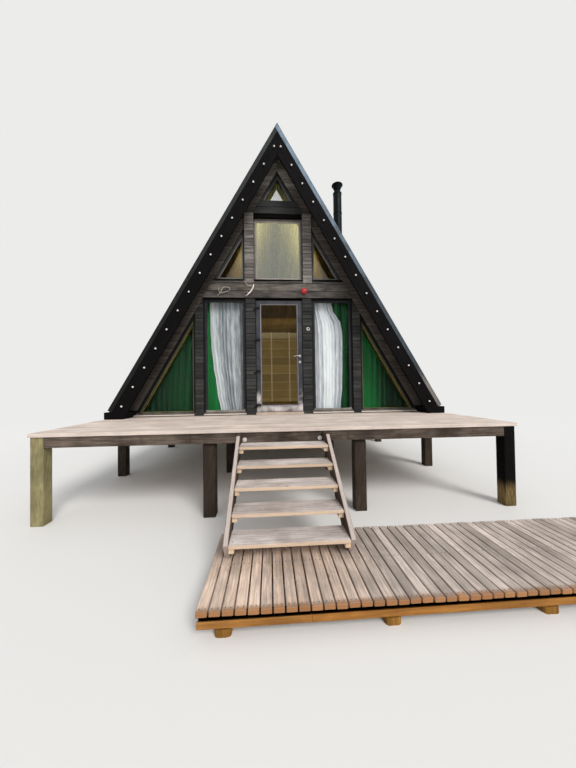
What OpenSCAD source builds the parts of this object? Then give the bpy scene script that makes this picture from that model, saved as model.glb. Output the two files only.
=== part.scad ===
// A-frame cabin on posts, with a porch deck, an open stair and a plank walk
// Millimetres, Z up. X runs across the front, Y runs from the walk to the back wall
// Heights inside the modules are measured from the top of the porch deck

/* [Cabin] */
// Half of the width between the roof's outer faces at deck level
cabin_half_width = 3060; // [2400:10:3800]
// Slope of both roof faces above the level
roof_angle = 60; // [55:0.5:64]
// Length from the front bargeboards to the back bargeboards
cabin_length = 6000; // [4800:10:7600]
// Overhang of the roof in front of and behind the end walls
overhang = 375; // [250:5:600]
// Thickness of the end walls
wall_thick = 170; // [120:5:240]

/* [Roof] */
// Depth of the metal roof sheets
sheet_thick = 30; // [20:1:45]
// Thickness of the boards under the sheets
board_thick = 25; // [18:1:35]
// Whole thickness of the roof, measured square to it
roof_thick = 340; // [260:5:420]
// Thickness of the pine lining inside
lining_thick = 20; // [12:1:30]
// Height of the outer lower edge of the roof sheets above the deck
eave_rise = 156; // [130:2:240]
// Height of the eave beams that the roof stands on
eave_beam_high = 120; // [80:2:126]
// Depth from the roof's outer face to the bargeboards' inner edge
barge_reach = 290; // [220:5:330]
// Thickness of the bargeboards
barge_thick = 40; // [25:1:60]
// Width of the metal verge strips seen from the front
verge_face = 90; // [60:1:130]
// Width of the metal verge strips along the roof
verge_top = 120; // [80:5:200]
// Thickness of the folded metal trims
trim_thick = 5; // [3:0.5:8]
// Length of each leg of the ridge cap
ridge_leg = 170; // [120:5:240]
// Gap between the two halves that meet at the ridge
ridge_gap = 1; // [0.5:0.5:4]
// Clearance between layers and bars that lie against each other on a slope
layer_gap = 0.4; // [0.2:0.1:0.8]

/* [Front wall] */
// Depth from the roof's outer face to the inner edge of the end rafters
rafter_reach = 285; // [230:5:320]
// Half width of the door opening
door_half = 455; // [400:5:520]
// Outer edge of the inner posts beside the door
inner_post_edge = 636; // [590:2:690]
// Width of the outer posts, which stand where the rafters meet the beam
outer_post_wide = 150; // [110:5:190]
// Height of the sill under the lower windows
sill_high = 30; // [15:1:60]
// Underside of the beam at loft level
mid_beam_low = 2235; // [2215:5:2300]
// Top of the beam at loft level
mid_beam_top = 2588; // [2500:2:2700]
// How far the beam and the collar stand out of the posts
beam_proud = 30; // [10:1:45]
// Half width of the upper middle window
upper_half = 470; // [400:5:540]
// Outer edge of the upper posts
upper_post_edge = 645; // [600:5:720]
// Distance from the ridge down to the underside of the collar board
collar_drop = 1500; // [1430:5:1600]
// Height of the collar board
collar_high = 320; // [260:5:360]
// Depth of the loft floor's top below the top of the beam
loft_drop = 40; // [0:5:80]
// Thickness of the loft floor
loft_thick = 153; // [120:1:180]
// Length of the open well between the loft floor and the back wall
loft_well = 1100; // [900:10:1400]

/* [Windows] */
// Width of the window frames seen from the front
frame_wide = 60; // [45:1:75]
// Depth of the window frames from front to back
frame_deep = 76; // [60:1:90]
// Setback of the window frames behind the face of the posts
frame_setback = 45; // [20:1:70]
// Thickness of the sealed panes
pane_thick = 24; // [16:1:32]

/* [Door] */
// Clear gap round the door leaf
leaf_gap = 10; // [6:1:14]
// Underside of the door leaf above the deck
leaf_low = 56; // [50:1:70]
// Top of the door leaf
leaf_top = 2192; // [2100:2:2200]
// Thickness of the door leaf
leaf_thick = 64; // [50:1:75]
// Width of the leaf's stiles
stile_wide = 103; // [85:1:125]
// Width of the leaf's top rail
top_rail = 80; // [70:1:125]
// Width of the leaf's bottom rail
bottom_rail = 122; // [100:1:170]
// Setback of the leaf behind the face of the posts
leaf_setback = 12; // [8:1:25]
// Width of the door frame behind the leaf
jamb_wide = 30; // [20:1:34]
// Height of the threshold
threshold_high = 44; // [30:1:46]
// Radius of the hinge barrels
barrel_r = 9; // [7:0.5:12]
// Radius of the hinge pins
pin_r = 4; // [3:0.25:5]
// Radial play between a hinge pin and its bore
pin_play = 0.06; // [0.02:0.01:0.1]
// Height of the lever handle above the deck
handle_z = 1118; // [1000:2:1200]
// Distance of the lock cylinder below the handle
lock_drop = 116; // [90:1:130]

/* [Porch deck] */
// Height of the deck above the lowest ground
deck_height = 1100; // [950:5:1300]
// Depth of the porch in front of the bargeboards
deck_front = 1495; // [1200:5:2000]
// Thickness of the deck boards
deck_thick = 45; // [30:1:60]
// How far the deck boards reach past the fascia
deck_nose = 20; // [5:1:40]
// Height of the fascia beam
fascia_high = 130; // [110:1:170]
// Thickness of the fascia beam
fascia_thick = 45; // [30:1:60]
// Width of the square posts
post_wide = 150; // [110:2:180]
// Height of the bearers under the floor
bearer_high = 150; // [120:2:200]
// Width of the bearers under the floor
bearer_wide = 140; // [90:2:150]
// Radius of the round lights on the fascia
step_light_r = 26; // [18:1:34]
// Distance of each light's centre inside the stair's edge
light_inset = 32; // [28:1:80]
// Distance of the lights' centres below the deck boards
light_drop = 92; // [70:1:100]

/* [Stair] */
// Distance between the stringers
stair_wide = 1007; // [900:1:1200]
// Middle of the stair, measured from the middle of the cabin
stair_middle = -43; // [-120:1:120]
// Number of treads below the deck
tread_count = 5; // [4:1:6]
// Distance from one tread's front to the next
tread_going = 214; // [200:1:240]
// Distance from the deck's front edge to the top tread's front edge
top_going = 350; // [320:1:400]
// Depth of each tread
tread_deep = 260; // [230:1:290]
// Thickness of each tread
tread_thick = 32; // [25:1:45]
// Thickness of the stringers
stringer_thick = 42; // [30:1:55]
// Depth of the stringers, measured square to their slope
stringer_deep = 220; // [200:1:250]
// Width and height of the cleats under the treads
cleat = 45; // [35:1:55]

/* [Plank walk] */
// Height of the walk's top above the lowest ground
walk_height = 186; // [160:1:260]
// Left end of the walk, measured from the middle of the cabin
walk_left = -660; // [-900:5:-620]
// Distance of the walk's near edge in front of the bargeboards
walk_near = 3185; // [3000:5:3400]
// Depth of the walk
walk_deep = 1000; // [900:5:1150]
// Thickness of the walk's planks
plank_thick = 45; // [30:1:55]
// Height of the walk's joists
walk_joist_high = 90; // [60:1:100]
// Width of the walk's joists
walk_joist_wide = 50; // [40:1:70]
// How far the planks reach past the outer joists
plank_nose = 25; // [10:1:45]

/* [Curtains] */
// Thickness that the folds of a curtain take up
fold_deep = 36; // [20:1:50]
// Height of the curtains' hems above the floor
hem_high = 60; // [20:5:150]
// How far a curtain reaches behind the post beside it
post_lap = 60; // [20:5:100]
// How far the left net is drawn in from the outer post at its hem
net_draw = 320; // [200:10:450]
// How far the right net stays short of the outer post
net_short = 180; // [100:10:300]
// How far the green curtains reach past the outer posts towards the middle
green_reach = 150; // [80:10:250]
// Height of the curtain track
track_high = 20; // [12:1:30]
// Depth of the curtain track
track_deep = 110; // [90:5:140]

/* [Flue] */
// Distance of the flue from the middle of the cabin
flue_x = 1545; // [1200:5:1900]
// Distance of the flue behind the front bargeboards
flue_y = 1800; // [1200:5:3000]
// Outer radius of the flue
flue_r = 102; // [80:1:125]
// Wall of the flue
flue_wall = 12; // [6:1:20]
// Top of the flue pipe above the deck
flue_top = 5420; // [5000:5:5900]
// Radius of the rain cap
cap_r = 138; // [120:1:160]
// Height of the rain cap's side
cap_high = 140; // [100:5:180]
// Rise of the rain cap's top above its side
cap_rise = 36; // [15:1:60]
// Length and width of the flange where the flue meets the roof
flue_flange = 460; // [380:10:600]

/* [Hidden] */
$fn = 48;
slope_cos = cos(roof_angle);
slope_sin = sin(roof_angle);
slope_tan = tan(roof_angle);
apex = cabin_half_width * slope_tan;
wall_y = overhang;
wall_in = wall_y + wall_thick;
back_out = cabin_length - overhang;
back_in = back_out - wall_thick;
y_mid = (cabin_length + trim_thick - walk_near) / 2;
core_reach = roof_thick - lining_thick;
wall_reach = rafter_reach + layer_gap / 2;
room_reach = roof_thick + layer_gap;
board_reach = sheet_thick + board_thick;
frame_y = wall_y + frame_setback;
pane_y = frame_y + (frame_deep - pane_thick) / 2;
deck_y = -deck_front;
fascia_y = deck_y + deck_nose;
post_y = fascia_y;
post_x = cabin_half_width - deck_nose - post_wide;
stair_rise = (deck_height - walk_height) / (tread_count + 1);
walk_z = walk_height - deck_height;
top_tread_y = deck_y - top_going;
stair_slope = atan2(stair_rise, tread_going);
barrel_x = -door_half + leaf_gap;
barrel_y = wall_y - barrel_r - 3;
leaf_half = door_half - leaf_gap;
leaf_y = wall_y + leaf_setback;
pane_low = leaf_low + bottom_rail;
pane_high = leaf_top - top_rail;
hinge_heights = [168, 818, 1420, 2034];
outer_start = floor(run_at(rafter_reach, mid_beam_low) - 1);
outer_post_edge = outer_start + outer_post_wide;
collar_low = round(apex - collar_drop);
collar_top = collar_low + collar_high;

// Height of a line parallel to the roof, at depth d below its outer face
function rise_at(d, x) = apex - d / slope_cos - x * slope_tan;
// Distance from the middle of that line at height z
function run_at(d, z) = (apex - d / slope_cos - z) / slope_tan;

// Moves everything from the deck's frame to the ground's
module place() {
    translate([0, -y_mid, deck_height]) children();
}

// Stands a profile drawn in X and Z between two depths
module upright(y0, y1) {
    translate([0, y1, 0]) rotate([90, 0, 0]) linear_extrude(height = y1 - y0) children();
}

// Plain block between two corners
module block(a, b) {
    translate(a) cube([b[0] - a[0], b[1] - a[1], b[2] - a[2]]);
}

// Both mirrored copies of a block given by its right half
module pair(x0, x1, y0, y1, z0, z1) {
    block([x0, y0, z0], [x1, y1, z1]);
    block([-x1, y0, z0], [-x0, y1, z1]);
}

// One half of a sloping layer, cut level at its foot
module slope_half(s, d0, d1, foot) {
    g = ridge_gap / 2;
    a = d0 + layer_gap / 2;
    b = d1 - layer_gap / 2;
    polygon([
        [s * g, rise_at(a, g)],
        [s * run_at(a, foot), foot],
        [s * run_at(b, foot), foot],
        [s * g, rise_at(b, g)]
    ]);
}

// One half of the outermost layer, cut square at its foot
module sheet_half(s) {
    g = ridge_gap / 2;
    b = sheet_thick - layer_gap / 2;
    x_out = run_at(0, eave_rise);
    polygon([
        [s * g, rise_at(0, g)],
        [s * x_out, eave_rise],
        [s * (x_out - b * slope_sin), eave_rise - b * slope_cos],
        [s * g, rise_at(b, g)]
    ]);
}

// Thin strip lying on the roof's outer face between two distances from the middle
module strip(s, x0, x1) {
    d0 = -layer_gap;
    d1 = -layer_gap - trim_thick;
    polygon([
        [s * x0, rise_at(d0, x0)],
        [s * x1, rise_at(d0, x1)],
        [s * (x1 + trim_thick * slope_sin), rise_at(d0, x1) + trim_thick * slope_cos],
        [s * (x0 + trim_thick * slope_sin), rise_at(d0, x0) + trim_thick * slope_cos]
    ]);
}

// Level band of wall between the end rafters
module band(z0, z1) {
    polygon([
        [-run_at(wall_reach, z0), z0],
        [run_at(wall_reach, z0), z0],
        [run_at(wall_reach, z1), z1],
        [-run_at(wall_reach, z1), z1]
    ]);
}

// Outline of a window with four corners, inset by m
function window_points(x0, x1, z0, z1, m) = [
    [x0 + m, z0 + m],
    [x1 - m, z0 + m],
    [x1 - m, z1 - m],
    [x0 + m, z1 - m]
];

// Outline of a window with three corners and one upright side, inset by m
function corner_points(s, x0, z0, m) = [
    [s * (x0 + m), z0 + m],
    [s * run_at(wall_reach + m, z0 + m), z0 + m],
    [s * (x0 + m), rise_at(wall_reach + m, x0 + m)]
];

// Outline of the window in the gable, inset by m
function gable_points(m) = [
    [-run_at(wall_reach + m, collar_top + m), collar_top + m],
    [run_at(wall_reach + m, collar_top + m), collar_top + m],
    [0, rise_at(wall_reach + m, 0)]
];

// Mitred bars between an outline and the same outline inset
module frame_bars(outer, inner) {
    n = len(outer);
    for (i = [0:n - 1]) {
        k = (i + 1) % n;
        along = outer[k] - outer[i];
        step = along / norm(along) * layer_gap;
        polygon([outer[i] + step, outer[k] - step, inner[k] - step, inner[i] + step]);
    }
}

module deck_post_left() {
    color("DarkGray") place()
        block([-post_x - post_wide, post_y, -deck_height], [-post_x, post_y + post_wide, -deck_thick]);
}

module deck_post_right() {
    color("DimGray") place()
        block([post_x, post_y, -deck_height], [post_x + post_wide, post_y + post_wide, -deck_thick]);
}

module foundation_posts() {
    top = -deck_thick - bearer_high;
    inner_x = post_x / 3;
    rows = [wall_y + 60, cabin_length / 2, cabin_length - 60 - post_wide];
    color("DimGray") place() {
        for (s = [-1, 1])
            translate([s * inner_x - post_wide / 2, post_y + fascia_thick, -deck_height])
                cube([post_wide, post_wide, deck_height + top]);
        for (y = rows)
            for (x = [-post_x - post_wide / 2, -inner_x, inner_x, post_x + post_wide / 2])
                translate([x - post_wide / 2, y, -deck_height])
                    cube([post_wide, post_wide, deck_height + top]);
    }
}

module floor_bearers() {
    z0 = -deck_thick - bearer_high;
    inner_x = post_x / 3;
    color("Gray") place() {
        for (s = [-1, 1])
            translate([s * (post_x + post_wide / 2) - bearer_wide / 2, post_y + post_wide, z0])
                cube([bearer_wide, cabin_length - 20 - post_y - post_wide, bearer_high]);
        for (s = [-1, 1])
            translate([s * inner_x - bearer_wide / 2, post_y + fascia_thick, z0])
                cube([bearer_wide, cabin_length - 20 - post_y - fascia_thick, bearer_high]);
    }
}

module deck_fascia() {
    color("Silver") place()
        block(
            [-post_x, fascia_y, -deck_thick - fascia_high],
            [post_x, fascia_y + fascia_thick, -deck_thick]
        );
}

module porch_deck() {
    color("LightGray") place()
        block([-cabin_half_width, deck_y, -deck_thick], [cabin_half_width, wall_y, 0]);
}

module cabin_floor() {
    color("Tan") place()
        block([-cabin_half_width, wall_y, -deck_thick], [cabin_half_width, cabin_length, 0]);
}

module eave_beams() {
    z1 = eave_beam_high;
    beam_reach = rafter_reach - layer_gap / 2;
    color("DarkSlateGray") place()
        for (s = [-1, 1])
            upright(barge_thick, cabin_length - barge_thick) polygon([
                [s * run_at(beam_reach, 0), 0],
                [s * cabin_half_width, 0],
                [s * cabin_half_width, z1],
                [s * run_at(beam_reach, z1), z1]
            ]);
}

// Side profile of one stringer, drawn in Y and Z
module stringer_shape() {
    top = -deck_thick - 5;
    nose_y = top_tread_y - (tread_count - 1) * tread_going;
    nose_z = walk_z + stair_rise;
    t = tan(stair_slope);
    break_y = top_tread_y + (top + stair_rise) / t;
    toe_y = nose_y + (nose_z - walk_z) * t;
    heel_y = nose_y + stringer_deep / sin(stair_slope) - (nose_z - walk_z) / t;
    back_z = walk_z + (fascia_y - heel_y) * t;
    polygon([
        [fascia_y, top],
        [break_y, top],
        [nose_y, nose_z],
        [toe_y, walk_z],
        [heel_y, walk_z],
        [fascia_y, back_z]
    ]);
}

module stair_stringers() {
    color("Silver") place()
        for (x = [stair_middle - stair_wide / 2 - stringer_thick, stair_middle + stair_wide / 2])
            translate([x, 0, 0]) rotate([90, 0, 90])
                linear_extrude(height = stringer_thick) stringer_shape();
}

module stair_treads() {
    color("LightGray") place()
        for (k = [1:tread_count])
            translate([
                stair_middle - stair_wide / 2,
                top_tread_y - (tread_count - k) * tread_going,
                walk_z + k * stair_rise - tread_thick
            ])
                cube([stair_wide, tread_deep, tread_thick]);
}

module stair_cleats() {
    long = tread_deep - 80;
    color("Tan") place()
        for (k = [1:tread_count])
            for (x = [stair_middle - stair_wide / 2, stair_middle + stair_wide / 2 - cleat])
                translate([
                    x,
                    top_tread_y - (tread_count - k) * tread_going + 20,
                    walk_z + k * stair_rise - tread_thick - cleat
                ])
                    cube([cleat, long, cleat]);
}

module boardwalk_planks() {
    color("Wheat") place()
        block(
            [walk_left, -walk_near, walk_z - plank_thick],
            [cabin_half_width, -walk_near + walk_deep, walk_z]
        );
}

module boardwalk_joists() {
    z0 = walk_z - plank_thick - walk_joist_high;
    y0 = -walk_near + plank_nose;
    y1 = -walk_near + walk_deep - plank_nose - walk_joist_wide;
    color("Peru") place()
        for (y = [y0, (y0 + y1) / 2, y1])
            translate([walk_left + plank_nose, y, z0])
                cube([cabin_half_width - walk_left - 2 * plank_nose, walk_joist_wide, walk_joist_high]);
}

module boardwalk_footings() {
    top = walk_z - plank_thick - walk_joist_high;
    x0 = walk_left + plank_nose + 60;
    x1 = cabin_half_width - plank_nose - 60 - post_wide;
    y0 = -walk_near + plank_nose;
    y1 = -walk_near + walk_deep - plank_nose - post_wide;
    color("Sienna") place()
        for (i = [0:3])
            for (y = [y0, y1])
                translate([x0 + (x1 - x0) * i / 3, y, -deck_height])
                    cube([post_wide, post_wide, top + deck_height]);
}

module end_rafters() {
    color("DarkSlateGray") place()
        for (s = [-1, 1]) {
            upright(wall_y, wall_in) slope_half(s, board_reach, rafter_reach, eave_beam_high);
            upright(back_in, back_out) slope_half(s, board_reach, rafter_reach, eave_beam_high);
        }
}

module front_lower_posts() {
    color("DarkSlateGray") place() {
        pair(door_half, inner_post_edge, wall_y, wall_in, 0, mid_beam_low);
        for (s = [-1, 1])
            upright(wall_y, wall_in) polygon([
                [s * outer_start, 0],
                [s * outer_post_edge, 0],
                [s * outer_post_edge, rise_at(wall_reach, outer_post_edge)],
                [s * (outer_start + 1), mid_beam_low],
                [s * outer_start, mid_beam_low]
            ]);
    }
}

module front_upper_posts() {
    color("DarkSlateGray") place()
        for (s = [-1, 1])
            upright(wall_y, wall_in) polygon([
                [s * upper_half, mid_beam_top],
                [s * upper_post_edge, mid_beam_top],
                [s * upper_post_edge, rise_at(wall_reach, upper_post_edge)],
                [s * run_at(wall_reach, collar_low), collar_low],
                [s * upper_half, collar_low]
            ]);
}

module mid_beams() {
    color("SlateGray") place() {
        upright(wall_y - beam_proud, wall_in) band(mid_beam_low, mid_beam_top);
        upright(back_in, back_out) band(mid_beam_low, mid_beam_top);
    }
}

module front_collar() {
    color("SlateGray") place()
        upright(wall_y - beam_proud, wall_in) band(collar_low, collar_top);
}

module lower_window_frames() {
    m = frame_wide;
    color("Gray") place() upright(frame_y, frame_y + frame_deep)
        for (s = [-1, 1]) {
            a = s > 0 ? inner_post_edge : -outer_start;
            b = s > 0 ? outer_start : -inner_post_edge;
            frame_bars(
                window_points(a, b, sill_high, mid_beam_low, 0),
                window_points(a, b, sill_high, mid_beam_low, m)
            );
            frame_bars(
                corner_points(s, outer_post_edge, sill_high, 0),
                corner_points(s, outer_post_edge, sill_high, m)
            );
        }
}

module lower_window_glass() {
    m = frame_wide + layer_gap;
    color("LightSteelBlue", 0.4) place() upright(pane_y, pane_y + pane_thick) {
        polygon(window_points(inner_post_edge, outer_start, sill_high, mid_beam_low, m));
        polygon(window_points(-outer_start, -inner_post_edge, sill_high, mid_beam_low, m));
        for (s = [-1, 1])
            polygon(corner_points(s, outer_post_edge, sill_high, m));
    }
}

module window_sills() {
    color("DimGray") place() {
        pair(inner_post_edge, outer_start, wall_y, wall_in, 0, sill_high);
        for (s = [-1, 1])
            upright(wall_y, wall_in) polygon([
                [s * outer_post_edge, 0],
                [s * run_at(wall_reach, 0), 0],
                [s * run_at(wall_reach, sill_high), sill_high],
                [s * outer_post_edge, sill_high]
            ]);
    }
}

// Frame of the middle window of the loft, the same in front and at the back
module loft_window_frame() {
    frame_bars(
        window_points(-upper_half, upper_half, mid_beam_top, collar_low, 0),
        window_points(-upper_half, upper_half, mid_beam_top, collar_low, frame_wide)
    );
}

module upper_window_frames() {
    m = frame_wide;
    color("Gray") place() {
        upright(frame_y, frame_y + frame_deep) {
            loft_window_frame();
            for (s = [-1, 1])
                frame_bars(
                    corner_points(s, upper_post_edge, mid_beam_top, 0),
                    corner_points(s, upper_post_edge, mid_beam_top, m)
                );
            frame_bars(gable_points(0), gable_points(m));
        }
        upright(back_out - frame_setback - frame_deep, back_out - frame_setback)
            loft_window_frame();
    }
}

module upper_window_glass() {
    m = frame_wide + layer_gap;
    back_y = back_out - frame_setback - (frame_deep + pane_thick) / 2;
    color("LightSteelBlue", 0.4) place() {
        upright(pane_y, pane_y + pane_thick) {
            polygon(window_points(-upper_half, upper_half, mid_beam_top, collar_low, m));
            for (s = [-1, 1])
                polygon(corner_points(s, upper_post_edge, mid_beam_top, m));
            polygon(gable_points(m));
        }
        upright(back_y, back_y + pane_thick)
            polygon(window_points(-upper_half, upper_half, mid_beam_top, collar_low, m));
    }
}

module door_frame() {
    y0 = leaf_y + leaf_thick + 6;
    y1 = wall_in - 10;
    head = leaf_top - 30;
    color("Gray") place() {
        pair(door_half - jamb_wide, door_half, y0, y1, threshold_high, head - 1);
        block([-door_half, y0, head], [door_half, y1, mid_beam_low]);
    }
}

module door_threshold() {
    color("Silver") place()
        block([-door_half, wall_y - 15, 0], [door_half, wall_in, threshold_high]);
}

module door_leaf() {
    x = leaf_half - stile_wide;
    g = layer_gap;
    color("SlateGray") place() {
        pair(x, leaf_half, leaf_y, leaf_y + leaf_thick, leaf_low, leaf_top);
        block([-x + g, leaf_y, leaf_low], [x - g, leaf_y + leaf_thick, pane_low]);
        block([-x + g, leaf_y, pane_high], [x - g, leaf_y + leaf_thick, leaf_top]);
    }
}

module door_glass() {
    x = leaf_half - stile_wide;
    y0 = leaf_y + (leaf_thick - pane_thick) / 2;
    color("LightSteelBlue", 0.4) place()
        block([-x, y0, pane_low], [x, y0 + pane_thick, pane_high]);
}

// One lever with its rose and the lock rose below, on the face at y, s is the side it stands on
module lever(y, s) {
    x = leaf_half - stile_wide / 2;
    long = 118;
    for (z = [handle_z, handle_z - lock_drop])
        translate([x, y, z]) rotate([90 * s, 0, 0]) cylinder(h = 8, r = 25);
    translate([x, y + s * -7, handle_z]) rotate([90 * s, 0, 0]) cylinder(h = 46, r = 9);
    translate([x, y - s * 44, handle_z]) rotate([0, -90, 0]) cylinder(h = long, r = 9);
    translate([x, y - s * 44, handle_z]) sphere(r = 9);
    translate([x, y + s * -7, handle_z - lock_drop]) rotate([90 * s, 0, 0]) cylinder(h = 7, r = 9);
}

module door_handles() {
    color("Silver") place() {
        lever(leaf_y, 1);
        lever(leaf_y + leaf_thick, -1);
    }
}

module door_hinge_leaves() {
    color("Silver") place()
        for (z = hinge_heights)
            difference() {
                union() {
                    translate([barrel_x, barrel_y, z]) cylinder(h = 34, r = barrel_r);
                    block([barrel_x, barrel_y - 3, z], [barrel_x + 84, barrel_y + 2, z + 34]);
                    block([barrel_x + 12, barrel_y, z], [barrel_x + 84, leaf_y, z + 34]);
                }
                translate([barrel_x, barrel_y, z - 1]) cylinder(h = 36, r = pin_r + pin_play);
            }
}

module hinge_brackets() {
    color("DimGray") place()
        for (z = hinge_heights) {
            translate([barrel_x, barrel_y, z - 36]) cylinder(h = 35, r = barrel_r);
            translate([barrel_x, barrel_y, z - 36]) cylinder(h = 68, r = pin_r);
            block([barrel_x - 48, barrel_y, z - 36], [barrel_x, wall_y - 5, z - 1]);
            block([barrel_x - 48, barrel_y, z - 36], [barrel_x - 16, wall_y, z - 1]);
        }
}

module roof_sheets() {
    color("SteelBlue") place()
        for (s = [-1, 1])
            upright(0, cabin_length) sheet_half(s);
}

module roof_boards() {
    color("DarkSlateGray") place()
        for (s = [-1, 1])
            upright(barge_thick, cabin_length - barge_thick)
                slope_half(s, sheet_thick, board_reach, eave_beam_high);
}

module roof_cores() {
    color("BurlyWood") place()
        for (s = [-1, 1])
            upright(wall_in, back_in) slope_half(s, board_reach, core_reach, eave_beam_high);
}

module pine_linings() {
    z1 = mid_beam_low;
    color("Wheat") place() {
        for (s = [-1, 1])
            upright(wall_in, back_in) slope_half(s, core_reach, roof_thick, 0);
        upright(back_in - lining_thick, back_in) polygon([
            [-run_at(room_reach, 0), 0],
            [run_at(room_reach, 0), 0],
            [run_at(room_reach, z1), z1],
            [-run_at(room_reach, z1), z1]
        ]);
    }
}

module ridge_cap() {
    x1 = ridge_leg * slope_cos;
    d0 = -layer_gap;
    d1 = -layer_gap - trim_thick;
    color("LightSteelBlue") place()
        upright(-trim_thick, cabin_length + trim_thick) polygon([
            [0, rise_at(d1, 0)],
            [x1 + trim_thick * slope_sin, rise_at(d0, x1) + trim_thick * slope_cos],
            [x1, rise_at(d0, x1)],
            [0, rise_at(d0, 0)],
            [-x1, rise_at(d0, x1)],
            [-x1 - trim_thick * slope_sin, rise_at(d0, x1) + trim_thick * slope_cos]
        ]);
}

// End strip against the face at y and lap on the roof behind it, for one slope
module verge(s, y, inward) {
    g = ridge_gap / 2;
    x0 = ridge_leg * slope_cos + trim_thick;
    x_out = run_at(0, eave_rise);
    face_y = inward > 0 ? y - trim_thick : y;
    lap_y = inward > 0 ? y - trim_thick : y + trim_thick - verge_top;
    upright(face_y, face_y + trim_thick) polygon([
        [s * g, rise_at(0, g)],
        [s * x_out, eave_rise],
        [s * (x_out - verge_face * slope_sin), eave_rise - verge_face * slope_cos],
        [s * g, rise_at(verge_face, g)]
    ]);
    upright(lap_y, lap_y + verge_top) strip(s, x0, x_out);
}

module verge_flashings() {
    color("LightSlateGray") place()
        for (s = [-1, 1]) {
            verge(s, 0, 1);
            verge(s, cabin_length, -1);
        }
}

module bargeboards() {
    color("Black") place()
        for (s = [-1, 1]) {
            upright(0, barge_thick) slope_half(s, sheet_thick, barge_reach, 0);
            upright(cabin_length - barge_thick, cabin_length) slope_half(s, sheet_thick, barge_reach, 0);
        }
}

module back_wall_lower() {
    color("DarkSlateGray") place()
        upright(back_in, back_out) band(0, mid_beam_low);
}

module back_wall_upper() {
    z0 = mid_beam_top;
    z1 = collar_low;
    color("DarkSlateGray") place()
        upright(back_in, back_out) {
            for (s = [-1, 1])
                polygon([
                    [s * upper_half, z0],
                    [s * run_at(wall_reach, z0), z0],
                    [s * run_at(wall_reach, z1 - layer_gap), z1 - layer_gap],
                    [s * upper_half, z1 - layer_gap]
                ]);
            polygon([
                [-run_at(wall_reach, z1), z1],
                [run_at(wall_reach, z1), z1],
                [0, rise_at(wall_reach, 0)]
            ]);
        }
}

module loft_floor() {
    z1 = mid_beam_top - loft_drop;
    z0 = z1 - loft_thick;
    color("Wheat") place()
        upright(wall_in, back_in - loft_well) polygon([
            [-run_at(room_reach, z0), z0],
            [run_at(room_reach, z0), z0],
            [run_at(room_reach, z1), z1],
            [-run_at(room_reach, z1), z1]
        ]);
}

module flue_pipe() {
    low = rise_at(0, flue_x + flue_r);
    foot = -trim_thick - 2 * layer_gap;
    reach = 2 * flue_r;
    color("DimGray") place()
        difference() {
            translate([flue_x, flue_y, low]) cylinder(h = flue_top - low, r = flue_r);
            translate([flue_x, flue_y, low - 1])
                cylinder(h = flue_top - low + 2, r = flue_r - flue_wall);
            upright(flue_y - reach, flue_y + reach) polygon([
                [flue_x - reach, rise_at(foot, flue_x - reach)],
                [flue_x + reach, rise_at(foot, flue_x + reach)],
                [flue_x - reach, rise_at(foot, flue_x + reach)]
            ]);
        }
}

module flue_cap() {
    color("DimGray") place()
        translate([flue_x, flue_y, flue_top])
            rotate_extrude() polygon([
                [0, cap_high + cap_rise],
                [cap_r / 2, cap_high + cap_rise],
                [cap_r, cap_high],
                [cap_r, 15],
                [flue_r, 0],
                [0, 0]
            ]);
}

module flue_flashing() {
    half = flue_flange / 2;
    color("DimGray") place()
        upright(flue_y - half, flue_y + half)
            strip(1, flue_x - half * slope_cos, flue_x + half * slope_cos);
}

module step_lights() {
    reach = stair_wide / 2 - light_inset;
    color("White") place()
        for (x = [stair_middle - reach, stair_middle + reach])
            translate([x, fascia_y, -deck_thick - light_drop]) rotate([90, 0, 0])
                cylinder(h = 10, r = step_light_r);
}

module curtain_track() {
    z0 = mid_beam_low;
    x1 = run_at(room_reach, z0 + track_high);
    color("White") place()
        block([-x1, wall_in, z0], [x1, wall_in + track_deep, z0 + track_high]);
}

module white_curtains() {
    y0 = wall_in + 14;
    z1 = mid_beam_low;
    x0 = inner_post_edge - post_lap;
    knee = hem_high + (z1 - hem_high) * 0.3;
    color("White") place() upright(y0, y0 + fold_deep) {
        polygon([
            [-x0, z1],
            [-x0, hem_high],
            [-(outer_start - net_draw), hem_high],
            [-(outer_start - net_draw * 0.7), knee],
            [-(outer_start - net_draw * 0.25), z1]
        ]);
        polygon([
            [x0, z1],
            [x0, hem_high],
            [outer_start - net_short - 30, hem_high],
            [outer_start - net_short + 30, z1]
        ]);
    }
}

module green_curtains() {
    y0 = wall_in + track_deep - fold_deep - 16;
    z1 = mid_beam_low;
    x0 = outer_start - green_reach;
    color("SeaGreen") place() upright(y0, y0 + fold_deep) for (s = [-1, 1])
        polygon([
            [s * x0, hem_high],
            [s * run_at(room_reach, hem_high), hem_high],
            [s * run_at(room_reach, z1), z1],
            [s * x0, z1]
        ]);
}

deck_post_left();
deck_post_right();
foundation_posts();
floor_bearers();
deck_fascia();
porch_deck();
cabin_floor();
eave_beams();
stair_stringers();
stair_treads();
stair_cleats();
boardwalk_planks();
boardwalk_joists();
boardwalk_footings();
end_rafters();
front_lower_posts();
front_upper_posts();
mid_beams();
front_collar();
window_sills();
lower_window_frames();
lower_window_glass();
upper_window_frames();
upper_window_glass();
door_frame();
door_threshold();
door_leaf();
door_glass();
door_handles();
door_hinge_leaves();
hinge_brackets();
roof_sheets();
roof_boards();
roof_cores();
pine_linings();
ridge_cap();
verge_flashings();
bargeboards();
back_wall_lower();
back_wall_upper();
loft_floor();
flue_pipe();
flue_cap();
flue_flashing();
step_lights();
curtain_track();
white_curtains();
green_curtains();
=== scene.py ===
"""Finishes and fine pieces of an A-frame cabin with a porch deck, an open stair and a plank walk.

Lengths are in metres. A place of the house is measured from the middle of the cabin, the front of
the bargeboards and the top of the porch deck, and house() moves it to the frame of the model.
"""

from __future__ import annotations

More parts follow.
